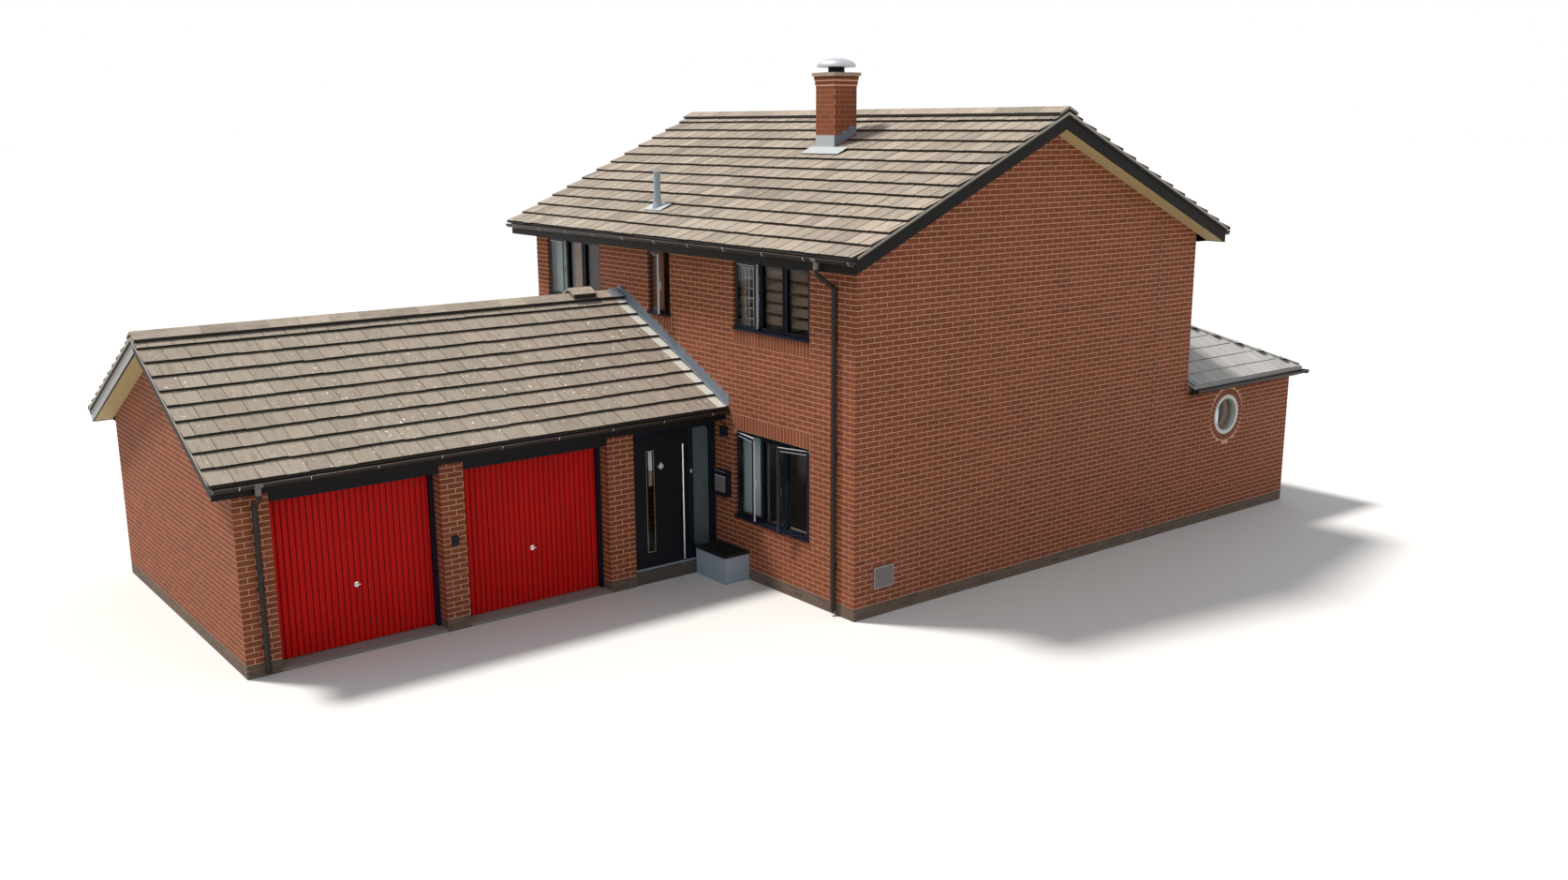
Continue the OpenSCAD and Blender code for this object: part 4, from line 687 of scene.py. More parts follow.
class HOUSE_OT_brickwork(bpy.types.Operator):
    """Lays the bricks of every wall, pier and the chimney in stretcher bond"""
    bl_idname = "house.brickwork"
    bl_label = "Brickwork"

    def execute(self, context):
        sizes, roofs = context.scene.house_bricks, context.scene.house_tiles
        # Where two faces meet, one runs a brick's proud height past the corner and the other
        # starts or stops short of it, so that no two bricks share a plane
        p, q = sizes.proud, 0.0205
        pitch, wing_pitch = math.tan(roofs.main_pitch), math.tan(roofs.wing_pitch)

        holes, soldiers = openings(False, (RIGHT - WIDE, RIGHT), (-4.442, -3.542))
        front = brick_face(sizes, (-MAIN_W, 0, 0), (1, 0, 0), (0, -1, 0), MAIN_W, UPPER_HEAD,
                           holes, soldiers, ends=(p, p))
        lay_bricks("bricks_front", sizes, [front], 11)
        holes, soldiers = openings(True, (LEFT - WIDE, LEFT), (RIGHT - WIDE, RIGHT))
        rear = brick_face(sizes, (0, MAIN_D, 0), (-1, 0, 0), (0, 1, 0), MAIN_W, UPPER_HEAD,
                          holes, soldiers, ends=(0, p))
        lay_bricks("bricks_rear", sizes, [rear], 12)

        apex = MAIN_EAVES_Z + (MAIN_D / 2 + MAIN_EAVES_OUT) * pitch - 0.03
        line = under_gable(MAIN_D, MAIN_EAVES_Z, MAIN_EAVES_OUT, pitch)
        joint_y, joint_half, joint_top = 6.39, 0.007, 5.35
        gable = brick_face(sizes, (0, 0, 0), (0, 1, 0), (1, 0, 0), MAIN_D, apex,
                           joint_at=(joint_y,), parity=1, line=line, ends=(-q, 0))
        lay_bricks("bricks_right_gable", sizes, [gable], 13)
        dress("movement_joint", "sealant",
              slab([0, joint_y - joint_half, 0], [0.002, joint_y + joint_half, joint_top]))
        far = brick_face(sizes, (-MAIN_W, MAIN_D, 0), (0, -1, 0), (-1, 0, 0), MAIN_D, apex,
                         parity=1, line=line, ends=(-q, -q))
        lay_bricks("bricks_left_gable", sizes, [far], 14)

        # The wing: its far side, its end and the three piers of its door wall
        wing_w, side_top, end_top = MAIN_W + WING_X, 2.55, 3.9
        line = under_gable(wing_w, WING_EAVES_Z, WING_EAVES_OUT, wing_pitch)
        side = brick_face(sizes, (-MAIN_W, 0, 0), (0, -1, 0), (-1, 0, 0), WING_L, side_top,
                          ends=(0, -q))
        end = brick_face(sizes, (-MAIN_W, -WING_L, 0), (1, 0, 0), (0, -1, 0), wing_w, end_top,
                         parity=1, ends=(p, p), line=line)
        lay_bricks("bricks_wing", sizes, [side, end], 15)
        pier_x, pier_top = local("garage_piers")[0][0], local("garage_piers")[1][2]
        depth = WING_X - pier_x
        faces = []
        for from_end, width in ((0, 0.440), (2.680, 0.337), (5.257, 0.440)):
            y0 = -WING_L + from_end
            faces.append(brick_face(sizes, (WING_X, y0, 0), (0, 1, 0), (1, 0, 0), width, pier_top,
                                    ends=(p if from_end else -q, p)))
            faces.append(brick_face(sizes, (WING_X, y0 + width, 0), (-1, 0, 0), (0, 1, 0), depth,
                                    pier_top, parity=1, ends=(-q, 0), depth=0.01))
            if from_end:
                faces.append(brick_face(sizes, (pier_x, y0, 0), (1, 0, 0), (0, -1, 0), depth,
                                        pier_top, parity=1, ends=(0, -q), depth=0.01))
        lay_bricks("bricks_piers", sizes, faces, 16)

        # The extension, with a round window in its right wall
        ext_l, ext_top = EXT_Y - MAIN_D, 2.31
        round_y, round_z, pane, header = 1.16, 1.82, 0.34, 0.115
        window = (EXT_W / 2 - WIDE / 2, EXT_W / 2 + WIDE / 2, GROUND_SILL, ext_top)
        lay_bricks("bricks_extension", sizes, [
            brick_face(sizes, (0, MAIN_D, 0), (0, 1, 0), (1, 0, 0), ext_l, ext_top,
                       rounds=[(round_y, round_z, pane + header)], ends=(0, p)),
            brick_face(sizes, (0, EXT_Y, 0), (-1, 0, 0), (0, 1, 0), EXT_W, ext_top, [window],
                       parity=1, ends=(-q, p)),
            brick_face(sizes, (-EXT_W, EXT_Y, 0), (0, -1, 0), (-1, 0, 0), ext_l, ext_top,
                       ends=(-q, 0)),
        ], 17)

        # Headers round the round window: the angle and the radius of a straight row bent to a ring
        inner, middle, outer = 0.344, 0.40, 0.445
        amount = round(2 * math.pi * middle / (sizes.height + sizes.joint))
        turn = np.arange(amount) * 2 * math.pi / amount
        half = math.pi / amount * sizes.height / (sizes.height + sizes.joint)
        corners, quads = blocks(rows(turn - half, inner, -0.02), rows(turn + half, outer, p))
        angles, radius, out = corners.T
        corners = rows(out, MAIN_D + round_y + radius * np.cos(angles),
                       round_z + radius * np.sin(angles))
        tone = np.clip(np.random.default_rng(19).normal(0.2, 0.12, amount), 0, 1)
        dress("bricks_round_window", "brick_face", (corners + CORNER, quads[:, ::-1]),
              slot="brick", tone=np.repeat(tone, 6))

        # The chimney's four faces and its two projecting courses
        low, high = local("chimney_stack")
        stack, step = 0.45, 0.011
        x0, y0 = low[0] + 2 * step, low[1] + 2 * step
        foot, top = 5.98, high[2] - 0.15
        faces = []
        for over, z0, z1 in ((0.0, foot, top), (step, top, top + 0.07),
                             (2 * step, top + 0.075, high[2])):
            w = stack + 2 * over
            a, b = x0 - over, y0 - over
            for origin, along, out, parity, ends in (
                    ((a, b, 0), (1, 0, 0), (0, -1, 0), 0, (p, p)),
                    ((a + w, b, 0), (0, 1, 0), (1, 0, 0), 1, (-q / 2, -q / 2)),
                    ((a + w, b + w, 0), (-1, 0, 0), (0, 1, 0), 0, (p, p)),
                    ((a, b + w, 0), (0, -1, 0), (-1, 0, 0), 1, (-q / 2, -q / 2))):
                faces.append(brick_face(sizes, origin, along, out, w, z1, parity=parity,
                                        z_from=z0, ends=ends, depth=0.01))
        lay_bricks("bricks_chimney", sizes, faces, 18, top - 0.01, "stack_joint")
        return {"FINISHED"}


# Roof coverings

def tile_slope(name, sizes, eaves, ridge, run, courses_up, seed, finish, slot, gap, node=None,
               cover=None, thick=None, clip=None, lip=None, pale=0.0):
    """A slope of overlapping tiles: a tile is a block as long as its gauge and a lap, tilted so
    that its tail lies a tile's thickness over the tile below. Courses are staggered by half a
    cover. eaves and ridge are the slope's lower and upper edge at the run's start, run the vector
    along it. Under the tiles of a node's slope lies its build-up, sheared so that its ends stand
    upright, with a strip of mortar along each verge. pale is the width of the pale tiles at the
    run's end, lip the tiles' overhang, and clip gives a course's span."""
    random = np.random.default_rng(seed)
    wander = 0.0018 if cover else 0.004
    thick, cover = thick or sizes.thick, cover or sizes.cover
    eaves, ridge, run = (np.asarray(v, float) for v in (eaves, ridge, run))
    length, width = np.linalg.norm(ridge - eaves), np.linalg.norm(run)
    up, along = (ridge - eaves) / length, run / width
    out = np.cross(along, up)
    if out[2] < 0:
        out = -out
    gauge = length / courses_up
    lap, narrowest, tilt = 0.05, 0.03, 0.93
    low, high = [], []
    for i in range(courses_up):
        start = np.arange(-(cover / 2 if i % 2 else 0.0), width - 0.02, cover)
        a = np.maximum(start, 0) + gap / 2
        b = np.minimum(start + cover, width - pale) - gap / 2
        if pale:
            a, b = np.append(a, width - pale), np.append(b, width)
        if clip is not None:
            first, last = clip((i + 0.5) / courses_up)
            a, b = np.maximum(a, first), np.minimum(b, last)
        keep = b - a > narrowest
        a, b = a[keep], b[keep]
        slip = random.normal(0, wander, len(a))
        low.append(rows(a, i * gauge + slip, -thick))
        high.append(rows(b, np.minimum((i + 1) * gauge + lap, length) + slip, 0.0))
    low, high = np.concatenate(low), np.concatenate(high)
    corners, faces = blocks(low, high)
    tail = np.repeat(low[:, 1], 8)
    lift = np.repeat(np.minimum(random.normal(0, 0.0012, len(low)), 0), 8)
    corners[:, 2] -= (corners[:, 1] - tail) / gauge * thick * tilt - lift
    axes = np.array([along, up, out])
    if np.linalg.det(axes) < 0:
        faces = faces[:, ::-1]
    corners = corners @ axes + eaves + CORNER
    tone = np.clip(random.normal(0.5, 0.2, len(low)), 0, 1)
    if pale:
        tone[np.abs(high[:, 0] - width) < 1e-6] = PALE_TONE
    tone = np.repeat(tone[:, None], 6, 1)
    # Painted shade: the underside, the tail and both sides are painted near black, for the shadow
    # in the joints and under each course
    tone[:, [0, 2, 4, 5]] = SHADE_PAINT_TONE
    tiles = dress(name, finish, (corners, faces), slot=slot, tone=tone.ravel())
    if node:
        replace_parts(tiles, node)
        top, step, end, skin = -1.3 * thick, lip / math.hypot(up[0], up[1]), 0.004, 0.0005
        axes, at = (along, up, (0, 0, 1)), eaves + CORNER
        dress(name.replace("tiles", "roof_build_up"), "roof_felt",
              blocks([[end, step, -sizes.build_up], [0, 0.01, top]],
                     [[width - end, length, top], [width, step, -thick]], axes, at))
        dress(name.replace("tiles", "verge_mortar"), "joint_mortar",
              blocks([[skin, step, -0.075], [width - end, step, -0.075]],
                     [[end, length, -thick - 0.002], [width - skin, length, -thick - 0.002]],
                     axes, at))


def ridge_run(sizes, start, end, side, slope, seed, reach=None, low_z=0.001, high_z=None,
              amount=None):
    """Angular ridge tiles in a row: each is two sheared blocks that meet over the ridge and fall
    to each side with the slope. Returns corners, faces and one tone a face."""
    random = np.random.default_rng(seed)
    start, end, side = (np.asarray(v, float) for v in (start, end, side))
    length = np.linalg.norm(end - start)
    along = (end - start) / length
    amount = amount or round(length / sizes.ridge_length)
    a = np.arange(amount) * length / amount + sizes.gap / 2
    b = a + length / amount - sizes.gap
    rise = random.uniform(-0.002, 0.0, amount)
    low = rows(a, 0.0, low_z)
    high = rows(b, reach or sizes.ridge_reach, (high_z or sizes.ridge_thick) + rise)
    parts = [blocks(low, high, (along, way * side - np.array([0, 0, slope]), (0, 0, 1)),
                    start + CORNER) for way in (-1, 1)]
    tone = np.repeat(np.clip(random.normal(0.6, 0.2, 2 * amount), 0, 1)[:, None], 6, 1)
    # Painted shade: the underside and the lower edge are painted near black, for the shadow under
    # each ridge tile
    tone[:, [0, 3]] = SHADE_PAINT_TONE
    return (*join(*parts), tone.ravel())


class HOUSE_OT_roof_tiles(bpy.types.Operator):
    """Lays the tiles of the main roof and the wing, and the slates of the extension"""
    bl_idname = "house.roof_tiles"
    bl_label = "Roof tiles"

    def execute(self, context):
        sizes = context.scene.house_tiles
        main, wing = math.tan(sizes.main_pitch), math.tan(sizes.wing_pitch)
        main_gap, wing_gap, main_lip, wing_lip = 0.016, 0.007, 0.090, 0.085
        for seed, name, turned in ((21, "front", False), (22, "rear", True)):
            node = "roof_" + name + "_slope"
            low, high = local(node)
            foot = high[2] - main * (high[1] - low[1])
            y_low, y_high = (high[1], low[1]) if turned else (low[1], high[1])
            tile_slope("tiles_" + name, sizes, (low[0], y_low, foot), (low[0], y_high, high[2]),
                       (high[0] - low[0], 0, 0), sizes.main_courses, seed, "tile_face",
                       "roof_tile", main_gap, node, lip=main_lip)
        for seed, name, turned in ((23, "right", False), (24, "left", True)):
            node = "garage_roof_" + name
            low, high = local(node)
            foot = high[2] - wing * (high[0] - low[0])
            x_low, x_high = (low[0], high[0]) if turned else (high[0], low[0])
            tile_slope("tiles_wing_" + name, sizes, (x_low, low[1], foot),
                       (x_high, low[1], high[2]), (0, high[1] - low[1], 0), sizes.wing_courses,
                       seed, "wing_tile_face", "roof_tile", wing_gap, node, lip=wing_lip,
                       pale=sizes.pale)

        # Ridge tiles of the main roof and the wing, and the vent's cap on its neck
        thick, lift, (vent_y0, vent_y1), inset = sizes.ridge_thick, 0.045, (-0.96, -0.54), 0.03
        low, high = local("roof_front_slope")
        tops = [ridge_run(sizes, (low[0], high[1], high[2]), high, (0, 1, 0), main, 31)]
        low, high = local("garage_roof_right")
        x, z = low[0], high[2]
        tops.append(ridge_run(sizes, (x, low[1], z), (x, high[1], z), (1, 0, 0), wing, 32))
        tops.append(ridge_run(sizes, (x, vent_y0, z), (x, vent_y1, z), (1, 0, 0), wing, 33,
                              None, thick + lift, 2 * thick + lift, 1))
        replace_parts(dress("ridge_tile_rows", "tile_face", *(top[:2] for top in tops),
                          slot="roof_tile", tone=np.concatenate([top[2] for top in tops])),
                    "ridge_tiles")
        neck = ridge_run(sizes, (x, vent_y0 + inset, z), (x, vent_y1 - inset, z), (1, 0, 0), wing,
                         34, 0.17, thick - 0.003, thick + lift + 0.002, 1)
        dress("ridge_vent_neck", "roof_felt", neck[:2])

        # Slates on the extension's three slopes, whose sides follow the hips
        low, high = local("extension_roof")
        half, deck = (high[0] - low[0]) / 2, 0.013
        rise = half * wing
        foot, top = high[2] - rise + deck, high[2] + deck
        mid, length = (low[0] + high[0]) / 2, high[1] - low[1]
        for name, eaves, ridge, run, clip in (
                ("right", (high[0], low[1], foot), (mid, low[1], top), (0, length, 0),
                 lambda t: (0, length - t * half)),
                ("left", (low[0], low[1], foot), (mid, low[1], top), (0, length, 0),
                 lambda t: (0, length - t * half)),
                ("rear", (low[0], high[1], foot), (low[0], high[1] - half, top), (2 * half, 0, 0),
                 lambda t: (t * half, 2 * half - t * half))):
            tile_slope("slates_" + name, sizes, eaves, ridge, run, sizes.slate_courses,
                       40 + len(name), "slate_face", "slate", sizes.gap, cover=0.25, thick=0.010,
                       clip=clip)
        hip, sunk = 0.045, 0.01
        start = np.array([mid, high[1] - half, top - sunk])
        dress("slate_hips", "slate_face", *(rod(start, end, hip, 8, 6) for end in (
            (low[0] + hip, high[1] - hip, foot - 0.005),
            (high[0] - hip, high[1] - hip, foot - 0.005), (mid, low[1], top - sunk))),
              slot="slate", smooth=True)
        return {"FINISHED"}


# Leadwork, eaves and verges

class HOUSE_OT_leadwork(bpy.types.Operator):
    """Dresses lead on the wing's roof, round the chimney and the vent pipe and by the extension"""
    bl_idname = "house.leadwork"
    bl_label = "Leadwork"

    def execute(self, context):
        tiles = context.scene.house_tiles
        skin = 0.003
        drop = (0, 0, skin)
        low, high = local("garage_roof_right")
        slope = math.tan(tiles.wing_pitch)
        mid, ridge_z, half = low[0], high[2], high[0] - low[0]
        # Strips by the wall, and a saddle over the last ridge tile with its upstand
        strip_y, saddle_y, saddle = -0.055, -0.24, 0.21
        apex = ridge_z + tiles.ridge_thick + skin
        lead = []
        for way in (-1, 1):
            foot = (mid + way * half, strip_y, ridge_z - half * slope + skin)
            lead.append(plank(foot, (mid, strip_y, ridge_z + skin), (0, 0.052, 0), drop))
            side = mid + way * saddle
            lead.append(plank((mid, saddle_y, apex), (side, saddle_y, apex - saddle * slope),
                              (0, 0.236, 0), drop))
            lead.append(plank((mid, -0.007, apex - 0.05),
                              (side, -0.007, apex - 0.05 - saddle * slope),
                              (0, skin, 0), (0, 0, 0.11)))
        # A strip where the extension's side slopes meet the main house
        low, high = local("extension_roof")
        half, mid = (high[0] - low[0]) / 2 * 0.995, (high[0] + low[0]) / 2
        crest = high[2] + 0.016
        for way in (-1, 1):
            lead.append(plank((mid + way * half, low[1], crest - half * slope),
                              (mid, low[1], crest), (0, 0.15, 0), drop))
        dress("lead_strips", "lead", *lead, slot="lead")

        # Pale lead in front of the chimney and round the vent pipe's foot
        low, high = local("roof_front_slope")
        slope = math.tan(tiles.main_pitch)

        def on_tiles(y):
            return high[2] - (high[1] - y) * slope

        def apron(left, right, front, back):
            """A sheet that lies on the tiles."""
            z = on_tiles(front) + 0.004
            return plank((left, front, z), (right, front, z),
                         (0, back - front, (back - front) * slope), drop)

        back = 2.436
        dress("pale_lead_sheets", "pale_lead", apron(-3.905, -3.0, 2.22, back),
              slab([-3.789, back - skin, on_tiles(back)], [-3.331, back, on_tiles(back) + 0.184]),
              apron(-5.557, -5.077, 0.294, 0.514), slot="lead")
        return {"FINISHED"}


def hoop(centre, across):
    """A half circle of wire under a gutter: the centre plus the radius times cosine across and
    sine downwards."""
    turn = np.linspace(0.05, math.pi - 0.05, 9)[:, None]
    radius, wire = 0.062, 0.004
    path = (np.asarray(centre) + radius * np.cos(turn) * np.asarray(across, float)
            - radius * np.sin(turn) * np.array([0, 0, 1.0]))
    return tube(path + CORNER, wire, 6)


def collar(axis, along, half, across, z, steps=10):
    """A shell round a gutter's lower half: a flat row of blocks whose second and third
    coordinates, an angle and a radius, become depth and height round the gutter's axis."""
    inner, outer = 0.061, 0.067
    angles = np.linspace(math.pi, 2 * math.pi, steps + 1)
    corners, quads = blocks(rows(along - half, angles[:-1], inner),
                            rows(along + half, angles[1:], outer))
    place, turn, radius = corners.T
    side, height = across + radius * np.cos(turn), z + radius * np.sin(turn)
    if axis == 0:
        return rows(place, side, height) + CORNER, quads[:, ::-1]
    return rows(side, place, height) + CORNER, quads


class HOUSE_OT_eaves(bpy.types.Operator):
    """Hangs the gutters' clips and unions, paints a highlight line along each gutter's rim and
    faces the wing's left bargeboard
    """
    bl_idname = "house.eaves"
    bl_label = "Eaves"

    def execute(self, context):
        out, z, wing_x, wing_z = MAIN_GUTTER_OUT, MAIN_GUTTER_Z, WING_GUTTER_X, WING_GUTTER_Z
        clips = []
        for y in (-out, MAIN_D + out):
            clips += [hoop((x, y, z), (0, 1, 0)) for x in np.arange(-8.7, 0.3, 0.9)]
        for x in (wing_x, FAR_GUTTER_X):
            clips += [hoop((x, y, wing_z), (1, 0, 0)) for y in np.arange(-7.2, -0.1, 0.86)]
        dress("gutter_clips", "silver", *clips, slot="silver", smooth=True)

        # Unions over the front downpipes with their outlet sleeves, and the gutter's end stop
        pipe_x, pipe_y, end_x = -0.39, -WING_L + 0.25, 0.318
        sleeves = [rod((x, y, top - 0.060), (x, y, top - 0.15), 0.039, 16)
                   for x, y, top in ((pipe_x, -out, z), (wing_x, pipe_y, wing_z))]
        dress("gutter_unions", "grey_plastic", collar(0, pipe_x, 0.05, -out, z),
              collar(0, end_x, 0.016, -out, z), collar(1, pipe_y, 0.05, wing_x, wing_z), *sleeves)

        # Painted highlight: a brown line along each gutter's outer edge, a rim's distance from its
        # axis, for the light caught by the rim
        rim, (left, right), (front, back) = 0.06, (-8.985, 0.335), (-7.49, -0.01)
        lines = [((left, y, z), (right, y, z)) for y in (-out - rim, MAIN_D + out + rim)]
        lines += [((x, front, wing_z), (x, back, wing_z))
                  for x in (wing_x + rim, FAR_GUTTER_X - rim)]
        dress("gutter_highlight_lines", "gutter_rim", *(rod(a, b, 0.0045, 6) for a, b in lines), smooth=True)

        # The board's face follows the rafters from the far eaves to the ridge
        slope = math.tan(context.scene.house_tiles.wing_pitch)
        reach, mid = (MAIN_W + WING_X) / 2 + WING_EAVES_OUT, (WING_X - MAIN_W) / 2
        y, skin = -WING_L - 0.28, 0.003
        dress("grey_bargeboard", "grey_board",
              plank((mid - reach, y - skin, WING_EAVES_Z),
                    (mid, y - skin, WING_EAVES_Z + reach * slope), (0, skin, 0), (0, 0, -0.165)))
        return {"FINISHED"}


# Windows, entrance and fittings

def rail(x0, x1, z):
    """A head rail on the inner face of a window frame's head, whose lower edge is at height z."""
    return slab([x0, 0.12, z - 0.02], [x1, 0.165, z + 0.03])


def slats(x0, x1, z0, z1, pitch, tilt, deep=0.045):
    """Level slats behind a pane: each is a thin block turned by the tilt about its long edge, and
    they follow one another upwards by the pitch. Two tapes hang them from a rail."""
    y, thin, tape = 0.135, 0.003, 0.1
    s, c = math.sin(tilt), math.cos(tilt)
    axes = np.array([(1, 0, 0), (0, c, s), (0, -s, c)])
    z = np.arange(z0 + pitch / 2, z1 - 0.02, pitch)
    at = rows(x0, y, z) @ axes.T
    edges = np.array([x0 + tape * (x1 - x0), x1 - tape * (x1 - x0)])
    tapes = rows(edges, y, z[0])
    return join(blocks(at, at + (x1 - x0, deep, thin), axes, CORNER), rail(x0, x1, z1),
                slab(tapes, tapes + (0.006, 0.002, z1 - z[0])))


class HOUSE_OT_windows(bpy.types.Operator):
    """Fits edge strips and handles to the casements and hangs blinds behind the panes"""
    bl_idname = "house.windows"
    bl_label = "Windows"

    def execute(self, context):
        wood = context.scene.house_joinery
        m = wood.member
        # Sill and height of a storey's windows; left edge, width and number of lights of a window
        upper = (UPPER_SILL, UPPER_HEAD - UPPER_SILL)
        lower = (GROUND_SILL, GROUND_HEAD - GROUND_SILL)
        right, middle, left = ((RIGHT - WIDE, WIDE, 3), (MIDDLE - NARROW, NARROW, 1),
                               (LEFT - WIDE, WIDE, 3))

        def light(window, i):
            """Left and right edge of a window's light."""
            x, w, n = window
            span = (w - m * (n + 1)) / n
            return x + m + i * (span + m), x + m + i * (span + m) + span

        # Casements that stand ajar: their light, the side of their hinge and their angle
        strips, lines, handles = [], [], []
        for window, (sill, height), i, side, degrees in (
                (right, upper, 0, 1, 4.0), (middle, upper, 0, 1, 21.5), (left, upper, 0, 1, 3.5),
                (right, lower, 0, 1, 11.0), (right, lower, 2, -1, 18.0)):
            a, b = light(window, i)
            w, h = b - a + 2 * wood.lap, height - wood.foot - m + wood.lap
            s, c = math.sin(math.radians(degrees)), math.cos(math.radians(degrees))
            axes = np.array([(side * c, -s, 0), (0, 0, 1), (-side * s, -c, 0)])
            at = CORNER + ((a - wood.lap) if side > 0 else (b + wood.lap), 0.0497,
                           sill + wood.foot)
            t, grip = wood.sash, h * 0.42
            strips.append(blocks([w, 0.02, 0.003], [w + 0.004, h - 0.02, t - 0.003], axes, at))
            lines.append(blocks([[0.004, h, 0.003], [0.045, h - 0.052, t]],
                                [[w, h + 0.003, t - 0.003], [w - 0.045, h - 0.045, t + 0.002]],
                                axes, at))
            handles.append(blocks(
                [[w - 0.034, grip, -0.03], [w - 0.030, grip - 0.02, -0.012]],
                [[w - 0.014, grip + 0.11, -0.012], [w - 0.018, grip + 0.03, 0]], axes, at))
        dress("casement_strips", "bright_trim", *strips)
        dress("casement_lines", "bright_trim", *lines)
        dress("casement_handles", "white_frame", *handles)

        # Beads inside the fixed lights
        beads, bead = [], 0.026
        for window, (sill, height), i in ((right, upper, 1), (right, upper, 2), (left, upper, 1),
                                          (left, upper, 2), (right, lower, 1)):
            x0, x1 = light(window, i)
            beads.append(border(1, wood.bead_plane, (x0 + bead, sill + m + bead),
                                (x1 - bead, sill + height - m - bead), bead, -0.012))
        dress("window_beads", "frame_black", *beads, slot="frame_black")

        def blind(window, level, i, pitch, tilt, share=1.0, **more):
            """Slats over a share of a light, from its left edge."""
            (x0, x1), (sill, height) = light(window, i), level
            return slats(x0 + 0.01, x0 + share * (x1 - x0) - 0.01, sill + m, sill + height - m,
                         pitch, tilt, **more)

        wide_pitch, fine_pitch, steep, steeper = 0.165, 0.034, 1.25, 1.38
        dress("brown_blinds", "blind_brown", *(
            blind(right, upper, i, wide_pitch, steeper, deep=wide_pitch * 0.72) for i in (1, 2)))
        dress("pale_blinds", "blind_pale", *(
            blind(window, level, i, fine_pitch, steep, share) for window, level, i, share in (
                (right, lower, 0, 1.0), (left, upper, 0, 1.0), (left, upper, 1, 0.14))))
        x0, x1 = light(right, 0)
        bar, low, high = 0.016, UPPER_SILL, UPPER_HEAD
        grid = [slab([x, 0.14, low + m], [x + bar, 0.15, high - m])
                for x in np.linspace(x0 + 0.06, x1 - 0.06, 5)]
        grid += [slab([x0, 0.15, z], [x1, 0.16, z + bar])
                 for z in np.linspace(low + 0.16, high - 0.16, 6)]
        dress("pale_grid", "blind_pale", *grid, rail(x0, x1, high - m))

        # Upright vanes in the upper left window and at the edge of the ground one
        vane, vane_pitch = (0.05, 0.004), 0.055
        for name, window, i, (sill, height), first, last, finish in (
                ("rose_vanes", left, 1, upper, 0.18, 1.0, "blind_rose"),
                ("dark_vanes", left, 2, upper, 0.0, 1.0, "blind_dark"),
                ("beige_vanes", right, 1, lower, 0.0, 0.15, "frosted")):
            x0, x1 = light(window, i)
            a, b = x0 + first * (x1 - x0), x0 + last * (x1 - x0)
            low = rows(np.arange(a, b - 0.05, vane_pitch), 0.14, sill + m)
            dress(name, finish, slab(low, low + (*vane, height - 2 * m)),
                  rail(a, b, sill + height - m))
        return {"FINISHED"}


class HOUSE_OT_garage_doors(bpy.types.Operator):
    """Paints shade at the foot of every pressed groove of the garage doors, as thin dark strips"""
    bl_idname = "house.garage_doors"
    bl_label = "Garage doors"

    def execute(self, context):
        ribs, depth, wide, skin = 26, 0.010, 0.013, 0.002
        for side in ("left", "right"):
            low, high = local("garage_door_" + side)
            y = low[1] + (high[1] - low[1]) * np.arange(1, ribs) / ribs
            foot = rows(high[0] - depth - skin / 4, y - wide - 0.001, low[2] + skin)
            dress(side + "_door_groove_shade", "door_groove",
                  slab(foot, foot + (skin, wide, high[2] - low[2] - 2 * skin)),
                  body=side + "_garage_leaf")
        return {"FINISHED"}


class HOUSE_OT_entrance(bpy.types.Operator):
    """Puts the glass slot's border and sheets, a panel and the plate's face on the front door, and
    the bell, the side light's film and a painted highlight on the sill's nose on its frame"""
    bl_idname = "house.entrance"
    bl_label = "Entrance"

    def execute(self, context):
        leaf, proud, thin = "front_door_leaf", 0.004, 0.002
        face = local("front_door")[1][0]
        low, high = local("door_glass")
        dress("slot_border", "gilt", border(0, face, low[1:], high[1:], 0.007, proud), body=leaf)
        # A tall faint panel between the glass and the pull bar
        dress("door_panel", "door_black",
              border(0, face, (-1.06, 0.47), (-0.71, 2.05), 0.012, proud),
              body=leaf, slot="door_black")
        # Pale sheets behind the upper part of the glass
        behind, y = low[0] - 0.003, (low[1] + high[1]) / 2 - 0.006
        for name, finish, z0, z1 in (("slot_pale_sheet", "bright_trim", 1.70, high[2]),
                                     ("slot_gilt_sheet", "gilt", 1.46, 1.70)):
            dress(name, finish, slab([behind - thin, y, z0], [behind, high[1], z1]), body=leaf)
        # The diamond plate's bright face: a square turned by an eighth of a turn
        s, half, plate = math.sqrt(0.5), 0.036, (face + 0.0075, -0.9925, 1.749)
        dress("diamond_face", "bright_trim",
              blocks([0, -half, -half], [0.003, half, half],
                     [(1, 0, 0), (0, s, s), (0, -s, s)], CORNER + plate), body=leaf)

        # An oval bell on the post: a short tube with its height stretched
        front, y, z = face + 0.012, -0.459, 1.597
        bell, quads = tube([(front + x, y, z) for x in (-0.002, 0.010, 0.016)],
                           np.array([0.016, 0.016, 0.010]), 16)
        bell[:, 2] = z + (bell[:, 2] - z) * 2.0
        dress("door_bell", "white_frame", (bell + CORNER, quads), smooth=True)
        # A film between the posts, just behind the side light's glass
        inner, post_y = face - 0.050, -0.421
        dress("frosted_film", "frosted",
              slab([inner - thin, post_y + 0.001, 0.282], [inner, -0.10, 2.26]))
        # Painted highlight: a blue-grey skin round the sill's nose and a thin sheet on its top, for
        # the sheen on the black sill
        low, high = local("entrance_frame")
        nose, sill_z, y0 = 0.011, 0.200, low[1] + 0.001
        x, z = high[0] - nose, sill_z + nose
        dress("sill_sheen_skin", "sill_metal", rod((x, y0, z), (x, post_y, z), nose + 0.0015, 16),
              slab([front, y0, sill_z + 0.022], [x, post_y, sill_z + 0.0235]))
        return {"FINISHED"}


